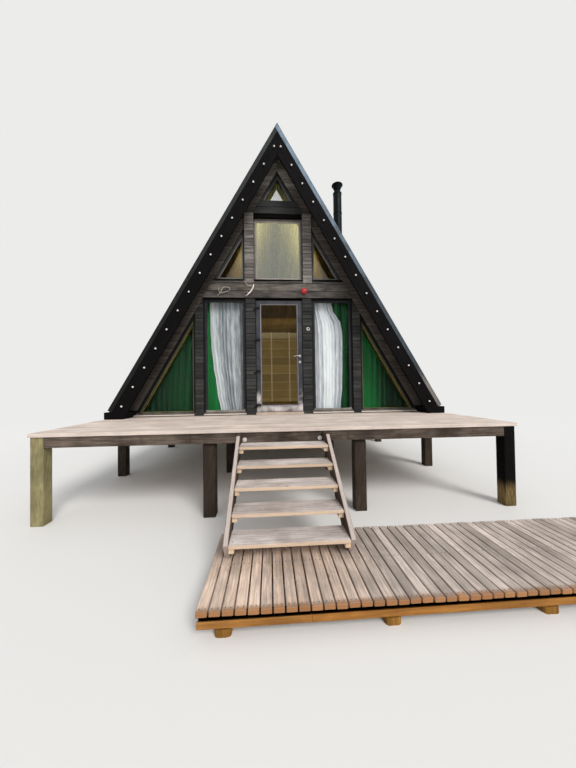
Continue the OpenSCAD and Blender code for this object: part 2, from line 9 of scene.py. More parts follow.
import logging
import math
import random
from collections.abc import Callable, Iterable, Sequence
from dataclasses import dataclass
from enum import Enum
from typing import ClassVar

import bmesh
import bpy
from mathutils import Matrix, Vector


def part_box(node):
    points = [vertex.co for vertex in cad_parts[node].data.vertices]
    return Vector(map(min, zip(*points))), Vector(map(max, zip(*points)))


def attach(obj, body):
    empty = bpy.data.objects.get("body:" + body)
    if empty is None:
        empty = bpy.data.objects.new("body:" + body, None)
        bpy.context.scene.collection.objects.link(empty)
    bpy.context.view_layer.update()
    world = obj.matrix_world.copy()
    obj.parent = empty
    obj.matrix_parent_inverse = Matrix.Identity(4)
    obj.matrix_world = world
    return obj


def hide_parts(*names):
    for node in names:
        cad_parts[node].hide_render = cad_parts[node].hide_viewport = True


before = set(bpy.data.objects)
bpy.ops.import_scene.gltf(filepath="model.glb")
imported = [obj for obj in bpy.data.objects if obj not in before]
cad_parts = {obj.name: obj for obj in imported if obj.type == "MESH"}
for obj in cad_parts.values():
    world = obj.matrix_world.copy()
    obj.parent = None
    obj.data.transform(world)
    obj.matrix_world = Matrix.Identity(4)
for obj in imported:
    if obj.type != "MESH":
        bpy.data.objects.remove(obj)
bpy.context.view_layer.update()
log = logging.getLogger("cabin")

Colour = tuple[float, float, float]
Place = tuple[float, float, float]
Outline = list[tuple[float, float]]
Points = Sequence[tuple[float, float]]
Levels = Sequence[tuple[float, bool]]
Socket = bpy.types.NodeSocket
Take = Callable[[str], Socket]

SLOPE = math.radians(60)
LAYER_GAP = 0.0004
OVERHANG = 0.375
WALL = 0.17
LENGTH = 6.0
FRONT_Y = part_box("bargeboards")[0].y
DECK_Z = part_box("porch_deck")[1].z
APEX = -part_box("porch_deck")[0].x * math.tan(SLOPE)
LINING_DEPTH = 0.34
ACROSS = Vector((1, 0, 0))
INWARD = Vector((0, 1, 0))
AHEAD = Vector((0, -1, 0))
UP = Vector((0, 0, 1))


class Axis(Enum):
    """Directions of the model."""

    X = (1.0, 0.0, 0.0)
    Y = (0.0, 1.0, 0.0)
    Z = (0.0, 0.0, 1.0)
    FORWARD = (0.0, -1.0, 0.0)


class Body(Enum):
    """The parts of the model that move as one."""

    CABIN = "cabin"
    DOOR = "door"


class Side(Enum):
    """The two halves of the house, as seen from the porch."""

    LEFT = -1
    RIGHT = 1


def house(x: float, y: float, z: float) -> Vector:
    """Moves a place of the house to the frame of the model."""
    return Vector((x, FRONT_Y + y, DECK_Z + z))


def rise_at(depth: float, x: float) -> float:
    """Height of the line that runs parallel to the roof at a depth below its outer face."""
    return APEX - depth / math.cos(SLOPE) - abs(x) * math.tan(SLOPE)


def run_at(depth: float, z: float) -> float:
    """Distance of that line from the middle of the cabin at a height."""
    return (APEX - depth / math.cos(SLOPE) - z) / math.tan(SLOPE)


def srgb(red: int, green: int, blue: int) -> Colour:
    """Turns a colour written as 0 to 255 into the linear values that a shader takes."""
    return tuple(
        v / 255 / 12.92 if v <= 10 else ((v / 255 + 0.055) / 1.055) ** 2.4 for v in (red, green, blue)
    )


# Outlines


def clip(outline: Outline, low: float, high: float) -> Outline:
    """Cuts a convex outline to the band between two heights.

    Args:
        outline: corners in X and Z, in order.
        low: height of the lower cut.
        high: height of the upper cut.

    Returns:
        The corners that are left, or an empty list.
    """
    for level, sign in ((low, 1.0), (high, -1.0)):
        kept: Outline = []
        for (x0, z0), (x1, z1) in zip(outline, outline[1:] + outline[:1]):
            a, b = sign * (z0 - level), sign * (z1 - level)
            if a >= 0:
                kept.append((x0, z0))
            if a * b < 0:
                t = a / (a - b)
                kept.append((x0 + (x1 - x0) * t, level))
        outline = tidy(kept)
        if len(outline) < 3:
            return []
    return outline


def tidy(outline: Outline, near: float = 0.0006) -> Outline:
    """Drops the corners of an outline that lie on top of the one before."""
    return [p for i, p in enumerate(outline) if math.dist(p, outline[i - 1]) > near]


def inset(outline: Outline, margin: float) -> Outline:
    """Moves each side of a convex, anticlockwise outline inwards.

    Args:
        outline: corners in X and Z, anticlockwise.
        margin: distance that the sides move, outwards where it is negative.

    Returns:
        As many corners, in the same order.
    """
    moved: Outline = []
    for i, here in enumerate(outline):
        before, after = Vector(outline[i - 1]), Vector(outline[(i + 1) % len(outline)])
        corner = Vector(here)
        into, out = (corner - before).normalized(), (after - corner).normalized()
        normal_in, normal_out = Vector((-into.y, into.x)), Vector((-out.y, out.x))
        middle = normal_in + normal_out
        corner += middle * (margin / max(0.05, middle.dot(normal_in)))
        moved.append((corner.x, corner.y))
    return moved


def area(outline: Outline) -> float:
    """Signed area of an outline, positive where it runs anticlockwise."""
    pairs = zip(outline, outline[1:] + outline[:1])
    return sum(x0 * z1 - x1 * z0 for (x0, z0), (x1, z1) in pairs) / 2


def panel(x0: float, x1: float, low: float, high: float) -> Outline:
    """Level oblong between two places in X and two heights."""
    return [(x0, low), (x1, low), (x1, high), (x0, high)]


def width_of(outline: Outline) -> tuple[float, float]:
    """Least and greatest X of an outline."""
    across = [x for x, _ in outline]
    return min(across), max(across)


def hull(points: Iterable[tuple[float, float]]) -> Outline:
    """Convex outline round some points, anticlockwise."""
    ordered = sorted(set((round(x, 5), round(z, 5)) for x, z in points))

    def half(run: Points) -> Outline:
        """One chain of the outline, with its last point left off."""
        chain: Outline = []
        for p in run:
            while len(chain) > 1 and area([chain[-2], chain[-1], p]) <= 1e-9:
                chain.pop()
            chain.append(p)
        return chain[:-1]

    return half(ordered) + half(ordered[::-1])


# Shapes


class Shape:
    """Corners and faces of a piece while it is being made."""

    def __init__(self) -> None:
        """Starts with nothing."""
        self.corners: list[Vector] = []
        self.faces: list[tuple[int, ...]] = []

    def loft(self, rings: Sequence[Sequence[Vector]], caps: bool = True, closed: bool = False) -> None:
        """Joins rings of as many corners each by faces.

        Args:
            rings: rings of corners, each of the same length.
            caps: whether the first and the last ring are filled.
            closed: whether the last ring joins the first again.
        """
        start, n = len(self.corners), len(rings[0])
        for ring in rings:
            self.corners.extend(Vector(p) for p in ring)
        for i in range(len(rings) if closed else len(rings) - 1):
            a, b = start + i * n, start + (i + 1) % len(rings) * n
            for k in range(n):
                m = (k + 1) % n
                self.faces.append((a + k, a + m, b + m, b + k))
        if caps and not closed:
            last = start + (len(rings) - 1) * n
            self.faces.append(tuple(range(start + n - 1, start - 1, -1)))
            self.faces.append(tuple(range(last, last + n)))

    def upright(self, outline: Outline, near: float, far: float, chamfer: float = 0.0) -> None:
        """Stands an outline drawn in X and Z between two depths, with its near edges cut off.

        Args:
            outline: corners in the house's X and Z.
            near: depth of the face that is seen.
            far: depth of the other face.
            chamfer: width of the cut edges.
        """
        steps = [(0.0, far), (0.0, near + math.copysign(chamfer, far - near)), (chamfer, near)]
        rings = []
        for margin, y in steps if chamfer else [(0.0, far), (0.0, near)]:
            ring = inset(outline, margin) if margin else outline
            rings.append([house(x, y, z) for x, z in ring])
        if area(outline) > 1e-6 and area(inset(outline, chamfer)) > 0:
            self.loft(rings)

    def bar(self, start: Vector, end: Vector, across: Vector, wide: float, deep: float, cut: float) -> None:
        """Straight bar with cut edges between two points in the middle of its ends.

        Args:
            start: middle of one end.
            end: middle of the other end.
            across: direction of its width.
            wide: width.
            deep: thickness.
            cut: width of the cut edges.
        """
        along = (end - start).normalized()
        side = (across - along * across.dot(along)).normalized()
        up = along.cross(side)
        w, d = wide / 2, deep / 2
        section = [
            (w - cut, d), (w, d - cut), (w, cut - d), (w - cut, -d),
            (cut - w, -d), (-w, cut - d), (-w, d - cut), (cut - w, d),
        ]
        rings = []
        for place, shrink in ((start, cut), (start + along * cut, 0), (end - along * cut, 0), (end, cut)):
            fx, fz = (w - shrink) / w, (d - shrink) / d
            rings.append([place + side * x * fx + up * z * fz for x, z in section])
        self.loft(rings)

    def tube(self, path: Sequence[Vector], radii: Sequence[float], sides: int = 10) -> None:
        """Round limb along a path, with rounded ends.

        Args:
            path: points in the middle of the limb.
            radii: radius at each point.
            sides: corners of each ring.
        """
        turn = (path[1] - path[0]).normalized()
        side = turn.orthogonal().normalized()
        rings = []
        for i, point in enumerate(path):
            ahead = (path[min(i + 1, len(path) - 1)] - path[max(i - 1, 0)]).normalized()
            side = (side - ahead * side.dot(ahead)).normalized()
            up = ahead.cross(side)
            spots = [(0, 1)]
            if i == 0:
                spots = [(-1, 0.35), (-0.6, 0.8), *spots]
            if i == len(path) - 1:
                spots = [*spots, (0.6, 0.8), (1, 0.35)]
            for shift, size in spots:
                r = radii[i] * size
                middle = point + ahead * shift * radii[i] * 0.8
                rings.append([
                    middle + side * math.cos(a) * r + up * math.sin(a) * r
                    for a in (k * math.tau / sides for k in range(sides))
                ])
        self.loft(rings)

    def lathe(self, centre: Vector, axis: Vector, profile: Points, sides: int = 32) -> None:
        """Turns a profile of (distance along the axis, radius) round an axis."""
        side = axis.orthogonal().normalized()
        up = axis.cross(side)
        turns = [k * math.tau / sides for k in range(sides)]
        self.loft([
            [centre + axis * s + (side * math.cos(a) + up * math.sin(a)) * max(r, 1e-4) for a in turns]
            for s, r in profile
        ])

    def mesh(self, name: str) -> bpy.types.Mesh:
        """Turns the corners and faces into a mesh whose faces point outwards."""
        mesh = bpy.data.meshes.new(name)
        mesh.from_pydata([tuple(p) for p in self.corners], [], self.faces)
        bm = bmesh.new()
        bm.from_mesh(mesh)
        bmesh.ops.recalc_face_normals(bm, faces=bm.faces)
        bm.to_mesh(mesh)
        bm.free()
        return mesh


def middle_of(part: bmesh.types.BMesh) -> Place:
    """Mean place of the corners of a solid."""
    return tuple(sum(v.co[k] for v in part.verts) / len(part.verts) for k in range(3))


def solids(node: str) -> list[bmesh.types.BMesh]:
    """Merged copies of the separate solids of a CAD node."""
    whole = bmesh.new()
    whole.from_mesh(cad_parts[node].data)
    bmesh.ops.remove_doubles(whole, verts=whole.verts, dist=2e-5)
    whole.verts.ensure_lookup_table()
    seen: set[int] = set()
    parts = []
    for first in whole.verts:
        if first.index in seen:
            continue
        group, queue = [], [first]
        seen.add(first.index)
        while queue:
            v = queue.pop()
            group.append(v)
            for edge in v.link_edges:
                other = edge.other_vert(v)
                if other.index not in seen:
                    seen.add(other.index)
                    queue.append(other)
        part = bmesh.new()
        places = {v.index: part.verts.new(v.co) for v in group}
        # A dict keeps this order in each run, which a set of faces doesn't.
        for face in dict.fromkeys(f for v in group for f in v.link_faces):
            part.faces.new([places[v.index] for v in face.verts])
        parts.append(part)
    whole.free()
    return sorted(parts, key=lambda part: [round(value, 3) for value in middle_of(part)])


def corners_of(part: bmesh.types.BMesh) -> tuple[Vector, Vector]:
    """Lowest and highest corner of the box round a solid."""
    low, high = ([pick(v.co[k] for v in part.verts) for k in range(3)] for pick in (min, max))
    return Vector(low), Vector(high)


def outline_of(part: bmesh.types.BMesh) -> tuple[Outline, float, float]:
    """Outline of a solid in the house's X and Z, with its nearest and farthest depth."""
    ys = [v.co.y - FRONT_Y for v in part.verts]
    return hull((v.co.x, v.co.z - DECK_Z) for v in part.verts), min(ys), max(ys)


def eased(node: str, edge: float, steps: int = 1) -> bpy.types.Mesh:
    """Copy of a CAD node with flat faces and its sharp edges cut off or rounded.

    Args:
        node: the CAD node.
        edge: width of the cut edges.
        steps: number of faces over each edge.

    Returns:
        A new mesh.
    """
    mesh = bpy.data.meshes.new(node)
    joined = bmesh.new()
    for part in solids(node):
        bmesh.ops.dissolve_limit(part, angle_limit=math.radians(1), verts=part.verts, edges=part.edges)
        sharp = [e for e in part.edges if len(e.link_faces) == 2 and e.calc_face_angle(0) > math.radians(28)]
        bmesh.ops.bevel(part, geom=sharp, offset=edge, segments=steps, affect="EDGES", clamp_overlap=True)
        bmesh.ops.recalc_face_normals(part, faces=part.faces)
        loose = bpy.data.meshes.new("part")
        part.to_mesh(loose)
        joined.from_mesh(loose)
        bpy.data.meshes.remove(loose)
        part.free()
    joined.to_mesh(mesh)
    joined.free()
    return mesh


# Shader graphs


class Graph:
    """Short calls that place and join the nodes of one tree."""

    def __init__(self, tree: bpy.types.NodeTree) -> None:
        """Works on an empty tree."""
        self.tree = tree
        tree.nodes.clear()

    def add(
        self, kind: str, inputs: dict[str | int, object] | None = None, **settings: object,
    ) -> bpy.types.Node:
        """Places a node, sets it up and joins or sets its inputs."""
        node = self.tree.nodes.new(kind)
        for key, value in settings.items():
            setattr(node, key, value)
        for key, value in (inputs or {}).items():
            self.put(node.inputs[key], value)
        return node

    def put(self, socket: Socket, value: object) -> None:
        """Joins a socket to another one, or sets its value."""
        if isinstance(value, Socket):
            self.tree.links.new(value, socket)
        elif isinstance(value, tuple) and len(value) == 3 and socket.type == "RGBA":
            socket.default_value = (*value, 1.0)
        else:
            socket.default_value = value

    def math(self, operation: str, a: object, b: object = 0.0) -> Socket:
        """Result of one sum."""
        return self.add("ShaderNodeMath", {0: a, 1: b}, operation=operation).outputs[0]

    def vector(self, operation: str, a: object, b: object) -> Socket:
        """Result of one sum of vectors."""
        node = self.add("ShaderNodeVectorMath", {0: a, 1: b}, operation=operation)
        return node.outputs["Value" if operation == "DOT_PRODUCT" else "Vector"]

    def mix(self, factor: object, a: object, b: object) -> Socket:
        """Two colours mixed."""
        return self.add("ShaderNodeMix", {0: factor, 6: a, 7: b}, data_type="RGBA").outputs[2]

    def noise(self, place: object, scale: float, detail: float = 3.0, rough: float = 0.55) -> Socket:
        """Soft noise from 0 to 1."""
        inputs = {"Vector": place, "Scale": scale, "Detail": detail, "Roughness": rough}
        return self.add("ShaderNodeTexNoise", inputs).outputs[0]

    def span(
        self, value: object, low: float, high: float, to_low: object = 0.0, to_high: object = 1.0,
    ) -> Socket:
        """Moves a value softly from one range to another."""
        inputs = {0: value, 1: low, 2: high, 3: to_low, 4: to_high}
        return self.add("ShaderNodeMapRange", inputs, interpolation_type="SMOOTHSTEP").outputs[0]

    def group(self, tree: bpy.types.NodeTree, inputs: dict[str, object]) -> bpy.types.Node:
        """Places a group with its own values."""
        return self.add("ShaderNodeGroup", inputs, node_tree=tree)


class Effects:
    """Groups of shader nodes that several finishes share, each built once."""

    trees: ClassVar[dict[str, bpy.types.NodeTree]] = {}

    @classmethod
    def build(
        cls,
        name: str,
        inputs: Sequence[tuple[str, str, object]],
        outputs: Sequence[str],
        fill: Callable[[Graph, Take], dict[str, Socket]],
    ) -> bpy.types.NodeTree:
        """Makes one group or returns it where it is there already.

        Args:
            name: name of the group.
            inputs: name, kind and value of each input.
            outputs: names of the outputs.
            fill: places the nodes and returns the socket for each output.

        Returns:
            The group.
        """
        if name not in cls.trees:
            tree = bpy.data.node_groups.new(name, "ShaderNodeTree")
            for label, kind, value in inputs:
                socket = tree.interface.new_socket(
                    name=label, in_out="INPUT", socket_type=f"NodeSocket{kind}",
                )
                if value is not None:
                    socket.default_value = value
            for label in outputs:
                tree.interface.new_socket(name=label, in_out="OUTPUT", socket_type="NodeSocketFloat")
            graph = Graph(tree)
            source = graph.add("NodeGroupInput")
            results = fill(graph, lambda label: source.outputs[label])
            graph.add("NodeGroupOutput", results)
            cls.trees[name] = tree
        return cls.trees[name]

    @classmethod
    def grain(cls) -> bpy.types.NodeTree:
        """Streaks, fine fibres, knots and patches of sawn wood, whose fibres run along X."""

        def fill(g: Graph, take: Take) -> dict[str, Socket]:
            """Places the nodes of the group."""
            place = take("Place")
            bend = g.noise(g.vector("MULTIPLY", place, (0.9, 2.0, 2.0)), 2.2, 2)
            across, up = g.math("MULTIPLY", bend, 0.03), g.math("MULTIPLY", bend, 0.02)
            sway = g.add("ShaderNodeCombineXYZ", {1: across, 2: up})
            bent = g.vector("ADD", place, sway.outputs[0])
            streak = g.noise(g.vector("MULTIPLY", bent, (0.05, 1.0, 1.0)), take("Streaks"), 4, 0.6)
            fine = g.noise(g.vector("MULTIPLY", bent, (0.025, 1.0, 1.0)), 420.0, 2, 0.6)
            patch = g.noise(g.vector("MULTIPLY", place, (0.35, 1.0, 1.0)), 5.5, 4, 0.62)
            field = g.vector("MULTIPLY", place, (1.0, 2.6, 2.6))
            cells = g.add("ShaderNodeTexVoronoi", {"Vector": field, "Scale": 2.4}).outputs
            chance = g.vector("DOT_PRODUCT", cells["Color"], Axis.X.value)
            chosen = g.math("GREATER_THAN", chance, 0.45)
            knot = g.math("MULTIPLY", g.span(cells["Distance"], 0.035, 0.075, 1.0, 0.0), chosen)
            return {"Streak": streak, "Fine": fine, "Patch": patch, "Knot": knot}

        inputs = [("Place", "Vector", None), ("Streaks", "Float", 70.0)]
        return cls.build("wood_grain", inputs, ["Streak", "Fine", "Patch", "Knot"], fill)

    @classmethod
    def weather(cls) -> bpy.types.NodeTree:
        """Blotches, rain marks that run down, and small specks of dirt."""

        def fill(g: Graph, take: Take) -> dict[str, Socket]:
            """Places the nodes of the group."""
            place = take("Place")
            blotch = g.noise(place, take("Scale"), 5, 0.6)
            rain = g.noise(g.vector("MULTIPLY", place, (1.0, 1.0, 0.07)), 24.0, 4, 0.6)
            speck = g.noise(place, 130.0, 2, 0.5)
            return {
                "Blotch": g.span(blotch, 0.35, 0.65),
                "Rain": g.span(rain, 0.4, 0.7),
                "Speck": g.span(speck, 0.62, 0.72),
            }

        inputs = [("Place", "Vector", None), ("Scale", "Float", 3.0)]
        return cls.build("weather_marks", inputs, ["Blotch", "Rain", "Speck"], fill)

    @classmethod
    def weave(cls) -> bpy.types.NodeTree:
        """Threads of a cloth that cross at right angles, and soft creases."""

        def fill(g: Graph, take: Take) -> dict[str, Socket]:
            """Places the nodes of the group."""
            threads = g.vector("MULTIPLY", take("Place"), (1.0, 1.0, 0.0))
            waves = []
            for direction in ("X", "Y"):
                wave = g.add(
                    "ShaderNodeTexWave",
                    {"Vector": threads, "Scale": take("Threads"), "Distortion": 0.4},
                    bands_direction=direction,
                )
                waves.append(wave.outputs["Fac"])
            crease = g.noise(g.vector("MULTIPLY", take("Place"), (5.0, 0.7, 1.0)), 5.0, 4, 0.6)
            return {"Thread": g.math("MAXIMUM", *waves), "Crease": crease}

        inputs = [("Place", "Vector", None), ("Threads", "Float", 300.0)]
        return cls.build("cloth_weave", inputs, ["Thread", "Crease"], fill)


# Finishes


@dataclass(frozen=True)
class Finish:
    """A surface finish. Each kind of finish fills in the nodes of its material."""

    made: ClassVar[dict[str, bpy.types.Material]] = {}
    name: str
    slot: str

    def material(self) -> bpy.types.Material:
        """Returns the finish's material and makes it the first time."""
        if self.name in self.made:
            return self.made[self.name]
        made = self.made[self.name] = bpy.data.materials.new(self.name)
        made.use_nodes = True
        graph = Graph(made.node_tree)
        out = graph.add("ShaderNodeOutputMaterial")
        graph.put(out.inputs["Surface"], self.fill(graph))
        return made

    def fill(self, g: Graph) -> Socket:
        """Places the nodes and returns the shader."""
        raise NotImplementedError

    def shader(self, g: Graph, inputs: dict[str, object]) -> Socket:
        """The surface shader with the given inputs."""
        return g.add("ShaderNodeBsdfPrincipled", inputs).outputs[0]

    def relief(self, g: Graph, height: Socket, depth: float, strength: float) -> Socket:
        """Turns a height into a normal."""
        return g.add("ShaderNodeBump", {"Height": height, "Distance": depth, "Strength": strength}).outputs[0]

    def place(self, g: Graph) -> Socket:
        """Place of a point of the piece in the model."""
        return g.add("ShaderNodeTexCoord").outputs["Object"]


@dataclass(frozen=True)
class Courses:
    """Boards that a finish draws on a CAD node: how they run and how they lie beside each other."""

    along: Place
    count: Place
    pitch: float
    groove: float = 0.004


@dataclass(frozen=True)
class Tint:
    """A colour that takes over where a place lies below a limit along an axis of the model."""

    colour: Colour
    axis: Axis
    limit: float
    fade: float
    strength: ClassVar[float] = 0.92

    def lay(self, g: Graph, place: object, base: object, waver: object) -> Socket:
        """Mixes the colour into another one, along an edge that wavers."""
        depth = g.vector("DOT_PRODUCT", place, self.axis.value)
        wavy = g.math("ADD", depth, g.math("MULTIPLY", g.math("SUBTRACT", waver, 0.5), 0.6 * self.fade))
        return g.mix(g.span(wavy, self.limit - self.fade, self.limit, self.strength, 0.0), base, self.colour)


@dataclass(frozen=True)
class Timber(Finish):
    """Wood, bare or stained, with its grain along each board."""

    light: Colour
    dark: Colour
    other: Colour
    knot: Colour
    spread: float = 0.14
    rough: float = 0.8
    gloss: float = 0.1
    depth: float = 0.001
    streaks: float = 70.0
    contrast: float = 0.55
    patches: float = 0.4
    dirt: float = 0.25
    knots: float = 0.8
    tints: tuple[Tint, ...] = ()
    # front: colour of faces turned forward; painted light on the stringers, real end grain on the walk
    # planks.
    front: Colour | None = None
    front_from: float = 0.6
    courses: Courses | None = None

    def fill(self, g: Graph) -> Socket:
        """Places the nodes and returns the shader."""
        place = self.place(g)
        if self.courses:
            along = g.vector("DOT_PRODUCT", place, self.courses.along)
            across = g.vector("DOT_PRODUCT", place, self.courses.count)
            rank = g.math("DIVIDE", across, self.courses.pitch)
            number = g.math("FLOOR", rank)
            chance = g.add("ShaderNodeTexWhiteNoise", {"W": number}, noise_dimensions="1D").outputs["Value"]
            edge = self.courses.groove / self.courses.pitch
            near = g.math("PINGPONG", g.math("SUBTRACT", rank, number), 0.5)
            groove = g.span(near, edge * 0.4, edge, 1.0, 0.0)
            shifted = g.math("ADD", along, g.math("MULTIPLY", chance, 9.0))
            layer = g.math("MULTIPLY", chance, 5.0)
            grain = g.add("ShaderNodeCombineXYZ", {0: shifted, 1: across, 2: layer}).outputs[0]
        else:
            grain = g.add("ShaderNodeAttribute", attribute_name="grain").outputs["Vector"]
            chance = g.add("ShaderNodeAttribute", attribute_name="board").outputs["Fac"]
        wood = g.group(Effects.grain(), {"Place": grain, "Streaks": self.streaks}).outputs
        marks = g.group(Effects.weather(), {"Place": place, "Scale": 2.6}).outputs
        second = g.math("FRACT", g.math("MULTIPLY", chance, 7.31))
        base = g.mix(g.span(second, 0.2, 0.9), self.light, self.other)
        for tint in self.tints:
            base = tint.lay(g, place, base, wood["Patch"])
        base = g.mix(g.span(wood["Streak"], 0.36, 0.66, self.contrast, 0.0), base, self.dark)
        fine = g.span(wood["Fine"], 0.3, 0.7, self.contrast * 0.45, 0.0)
        base = g.mix(fine, base, self.dark)
        base = g.mix(g.math("MULTIPLY", g.span(wood["Patch"], 0.42, 0.68), self.patches), base, self.dark)
        base = g.mix(g.math("MULTIPLY", wood["Knot"], self.knots), base, self.knot)
        base = g.mix(g.math("MULTIPLY", marks["Blotch"], self.dirt), base, self.knot)
        # Faces turned forward take the front colour: painted light on the lit stringer fronts, the real end
        # grain on the walk planks, a tan nose on the treads.
        if self.front:
            looks = g.vector("DOT_PRODUCT", g.add("ShaderNodeTexCoord").outputs["Normal"], Axis.FORWARD.value)
            front_grain_or_light = g.mix(g.span(wood["Fine"], 0.35, 0.65, 0.35, 0.0), self.front, self.dark)
            base = g.mix(g.span(looks, self.front_from, self.front_from + 0.25, 0.0, 0.85), base, front_grain_or_light)
        tone = g.math("ADD", 1.0 - self.spread, g.math("MULTIPLY", chance, 2 * self.spread))
        base = g.add("ShaderNodeHueSaturation", {"Color": base, "Value": tone}).outputs[0]
        height = g.math("ADD", wood["Streak"], g.math("MULTIPLY", wood["Fine"], 0.5))
        if self.courses:
            base = g.mix(groove, base, g.mix(0.75, base, (0.0, 0.0, 0.0)))
            height = g.math("SUBTRACT", height, g.math("MULTIPLY", groove, 2.0))
        rough = g.span(wood["Streak"], 0.3, 0.7, min(1.0, self.rough + 0.08), self.rough - 0.08)
        return self.shader(g, {
            "Base Color": base, "Roughness": rough, "Specular IOR Level": self.gloss,
            "Normal": self.relief(g, height, self.depth, 0.6),
        })


@dataclass(frozen=True)
class Metal(Finish):
    """Bare or coated metal with marks of weather and handling."""

    light: Colour
    dark: Colour
    metallic: float = 0.1
    rough: float = 0.45
    coat: float = 0.0
    gloss: float = 0.15
    marks: float = 0.4
    rain: float = 0.3
    tints: tuple[Tint, ...] = ()
    speck: ClassVar[Colour] = (0.16, 0.13, 0.10)
    dents: ClassVar[float] = 0.0048

    def fill(self, g: Graph) -> Socket:
        """Places the nodes and returns the shader."""
        place = self.place(g)
        marks = g.group(Effects.weather(), {"Place": place, "Scale": 4.0}).outputs
        base: object = self.light
        for tint in self.tints:
            base = tint.lay(g, place, base, marks["Blotch"])
        base = g.mix(g.math("MULTIPLY", marks["Blotch"], self.marks), base, self.dark)
        base = g.mix(g.math("MULTIPLY", marks["Rain"], self.rain), base, self.dark)
        base = g.mix(g.math("MULTIPLY", marks["Speck"], 0.5 * self.rain), base, self.speck)
        rough = g.math("ADD", self.rough - 0.07, g.math("MULTIPLY", marks["Blotch"], 0.16))
        wave = g.noise(place, 6.0, 2)
        return self.shader(g, {
            "Base Color": base, "Metallic": self.metallic, "Roughness": rough, "Coat Weight": self.coat,
            "Specular IOR Level": self.gloss, "Normal": self.relief(g, wave, self.dents, 0.5),
        })


@dataclass(frozen=True)
class Pane(Finish):
    """Window glass that lets light and shadows through."""

    tone: Colour
    ior: float = 1.5

    def fill(self, g: Graph) -> Socket:
        """Places the nodes and returns the shader."""
        place = self.place(g)
        marks = g.group(Effects.weather(), {"Place": place, "Scale": 5.0}).outputs
        glass = self.shader(g, {
            "Base Color": self.tone, "Transmission Weight": 1.0, "IOR": self.ior,
            "Roughness": g.math("MULTIPLY", marks["Rain"], 0.03),
            "Normal": self.relief(g, g.noise(place, 2.2, 1), 0.004, 0.25),
        })
        clear = g.add("ShaderNodeBsdfTransparent", {"Color": (*self.tone, 1.0)}).outputs[0]
        path = g.add("ShaderNodeLightPath").outputs
        through = g.math("MAXIMUM", path["Is Shadow Ray"], path["Is Diffuse Ray"])
        return g.add("ShaderNodeMixShader", {0: through, 1: glass, 2: clear}).outputs[0]


@dataclass(frozen=True)
class Cloth(Finish):
    """Curtain cloth with threads and creases, and painted shade down its folds and in its creases."""

    light: Colour
    dark: Colour
    rough: float = 0.8
    sheen: float = 0.1
    threads: float = 260.0
    thin: float = 0.0

    def fill(self, g: Graph) -> Socket:
        """Places the nodes and returns the shader."""
        flat = g.add("ShaderNodeUVMap", uv_map="cut").outputs[0]
        weave = g.group(Effects.weave(), {"Place": flat, "Threads": self.threads}).outputs
        fold = g.add("ShaderNodeAttribute", attribute_name="fold").outputs["Fac"]
        # Painted shade: the cloth darkens in the hollows of its folds and in the creases.
        fold_shade = g.math("ADD", fold, g.math("MULTIPLY", g.math("SUBTRACT", weave["Crease"], 0.5), 1.6))
        base = g.mix(g.span(fold_shade, -0.9, 1.1), self.light, self.dark)
        base = g.mix(g.math("MULTIPLY", weave["Thread"], 0.12), base, self.dark)
        height = g.math("ADD", weave["Crease"], g.math("MULTIPLY", weave["Thread"], 0.05))
        alpha = g.math("SUBTRACT", 1.0, g.math("MULTIPLY", g.span(weave["Crease"], 0.3, 0.7), self.thin))
        return self.shader(g, {
            "Base Color": base, "Roughness": self.rough, "Sheen Weight": self.sheen, "Alpha": alpha,
            "Specular IOR Level": 0.12, "Normal": self.relief(g, height, 0.012, 0.5),
        })


@dataclass(frozen=True)
class Hard(Finish):
    """Smooth hard stuff such as enamel, plastic or bone, with fine blotches."""

    light: Colour
    dark: Colour
    rough: float = 0.35
    coat: float = 0.3
    scale: float = 30.0
    depth: float = 0.0003

    def fill(self, g: Graph) -> Socket:
        """Places the nodes and returns the shader."""
        place = self.place(g)
        marks = g.group(Effects.weather(), {"Place": place, "Scale": self.scale}).outputs
        base = g.mix(g.math("MULTIPLY", marks["Blotch"], 0.7), self.light, self.dark)
        rough = g.math("ADD", self.rough, g.math("MULTIPLY", marks["Speck"], 0.1))
        return self.shader(g, {
            "Base Color": base, "Roughness": rough, "Coat Weight": self.coat,
            "Normal": self.relief(g, marks["Blotch"], self.depth, 0.6),
        })


DECK_BOARDS = Timber(
    "weathered_deck", "deck_timber", srgb(244, 229, 218), srgb(180, 165, 155), srgb(228, 214, 204),
    srgb(112, 98, 90), spread=0.06, rough=0.82, contrast=0.42, patches=0.32, dirt=0.2, knots=0.5,
)
# Darkened and strongly blotched as painted shade: the dappled shade under the deck edge, over the boards'
# weathering.
FASCIA = Timber(
    "weathered_fascia", "deck_timber", srgb(122, 109, 98), srgb(44, 36, 31), srgb(96, 84, 74),
    srgb(30, 24, 20), spread=0.1, contrast=0.6, patches=0.75, dirt=0.5,
)
TREADS = Timber(
    "stair_wood", "stair_timber", srgb(255, 246, 240), srgb(150, 137, 130), srgb(230, 222, 218),
    srgb(84, 66, 54), spread=0.08, knots=0.9, streaks=52.0, contrast=0.5, patches=0.5, dirt=0.32,
    front=srgb(214, 186, 156),
)
# Painted light and shade: the stringers' sides are dark as in shade, and their forward faces take a pale
# front as in light.
STRINGERS = Timber(
    "stringer_wood", "stair_timber", srgb(96, 80, 68), srgb(52, 42, 35), srgb(84, 70, 60), srgb(36, 28, 24),
    spread=0.05, streaks=52.0, contrast=0.5, dirt=0.4, front=srgb(206, 193, 186), front_from=0.3,
)
CLEATS = Timber(
    "fresh_pine", "cleat_timber", srgb(250, 228, 206), srgb(204, 174, 134), srgb(228, 208, 184),
    srgb(140, 104, 66), spread=0.12,
)
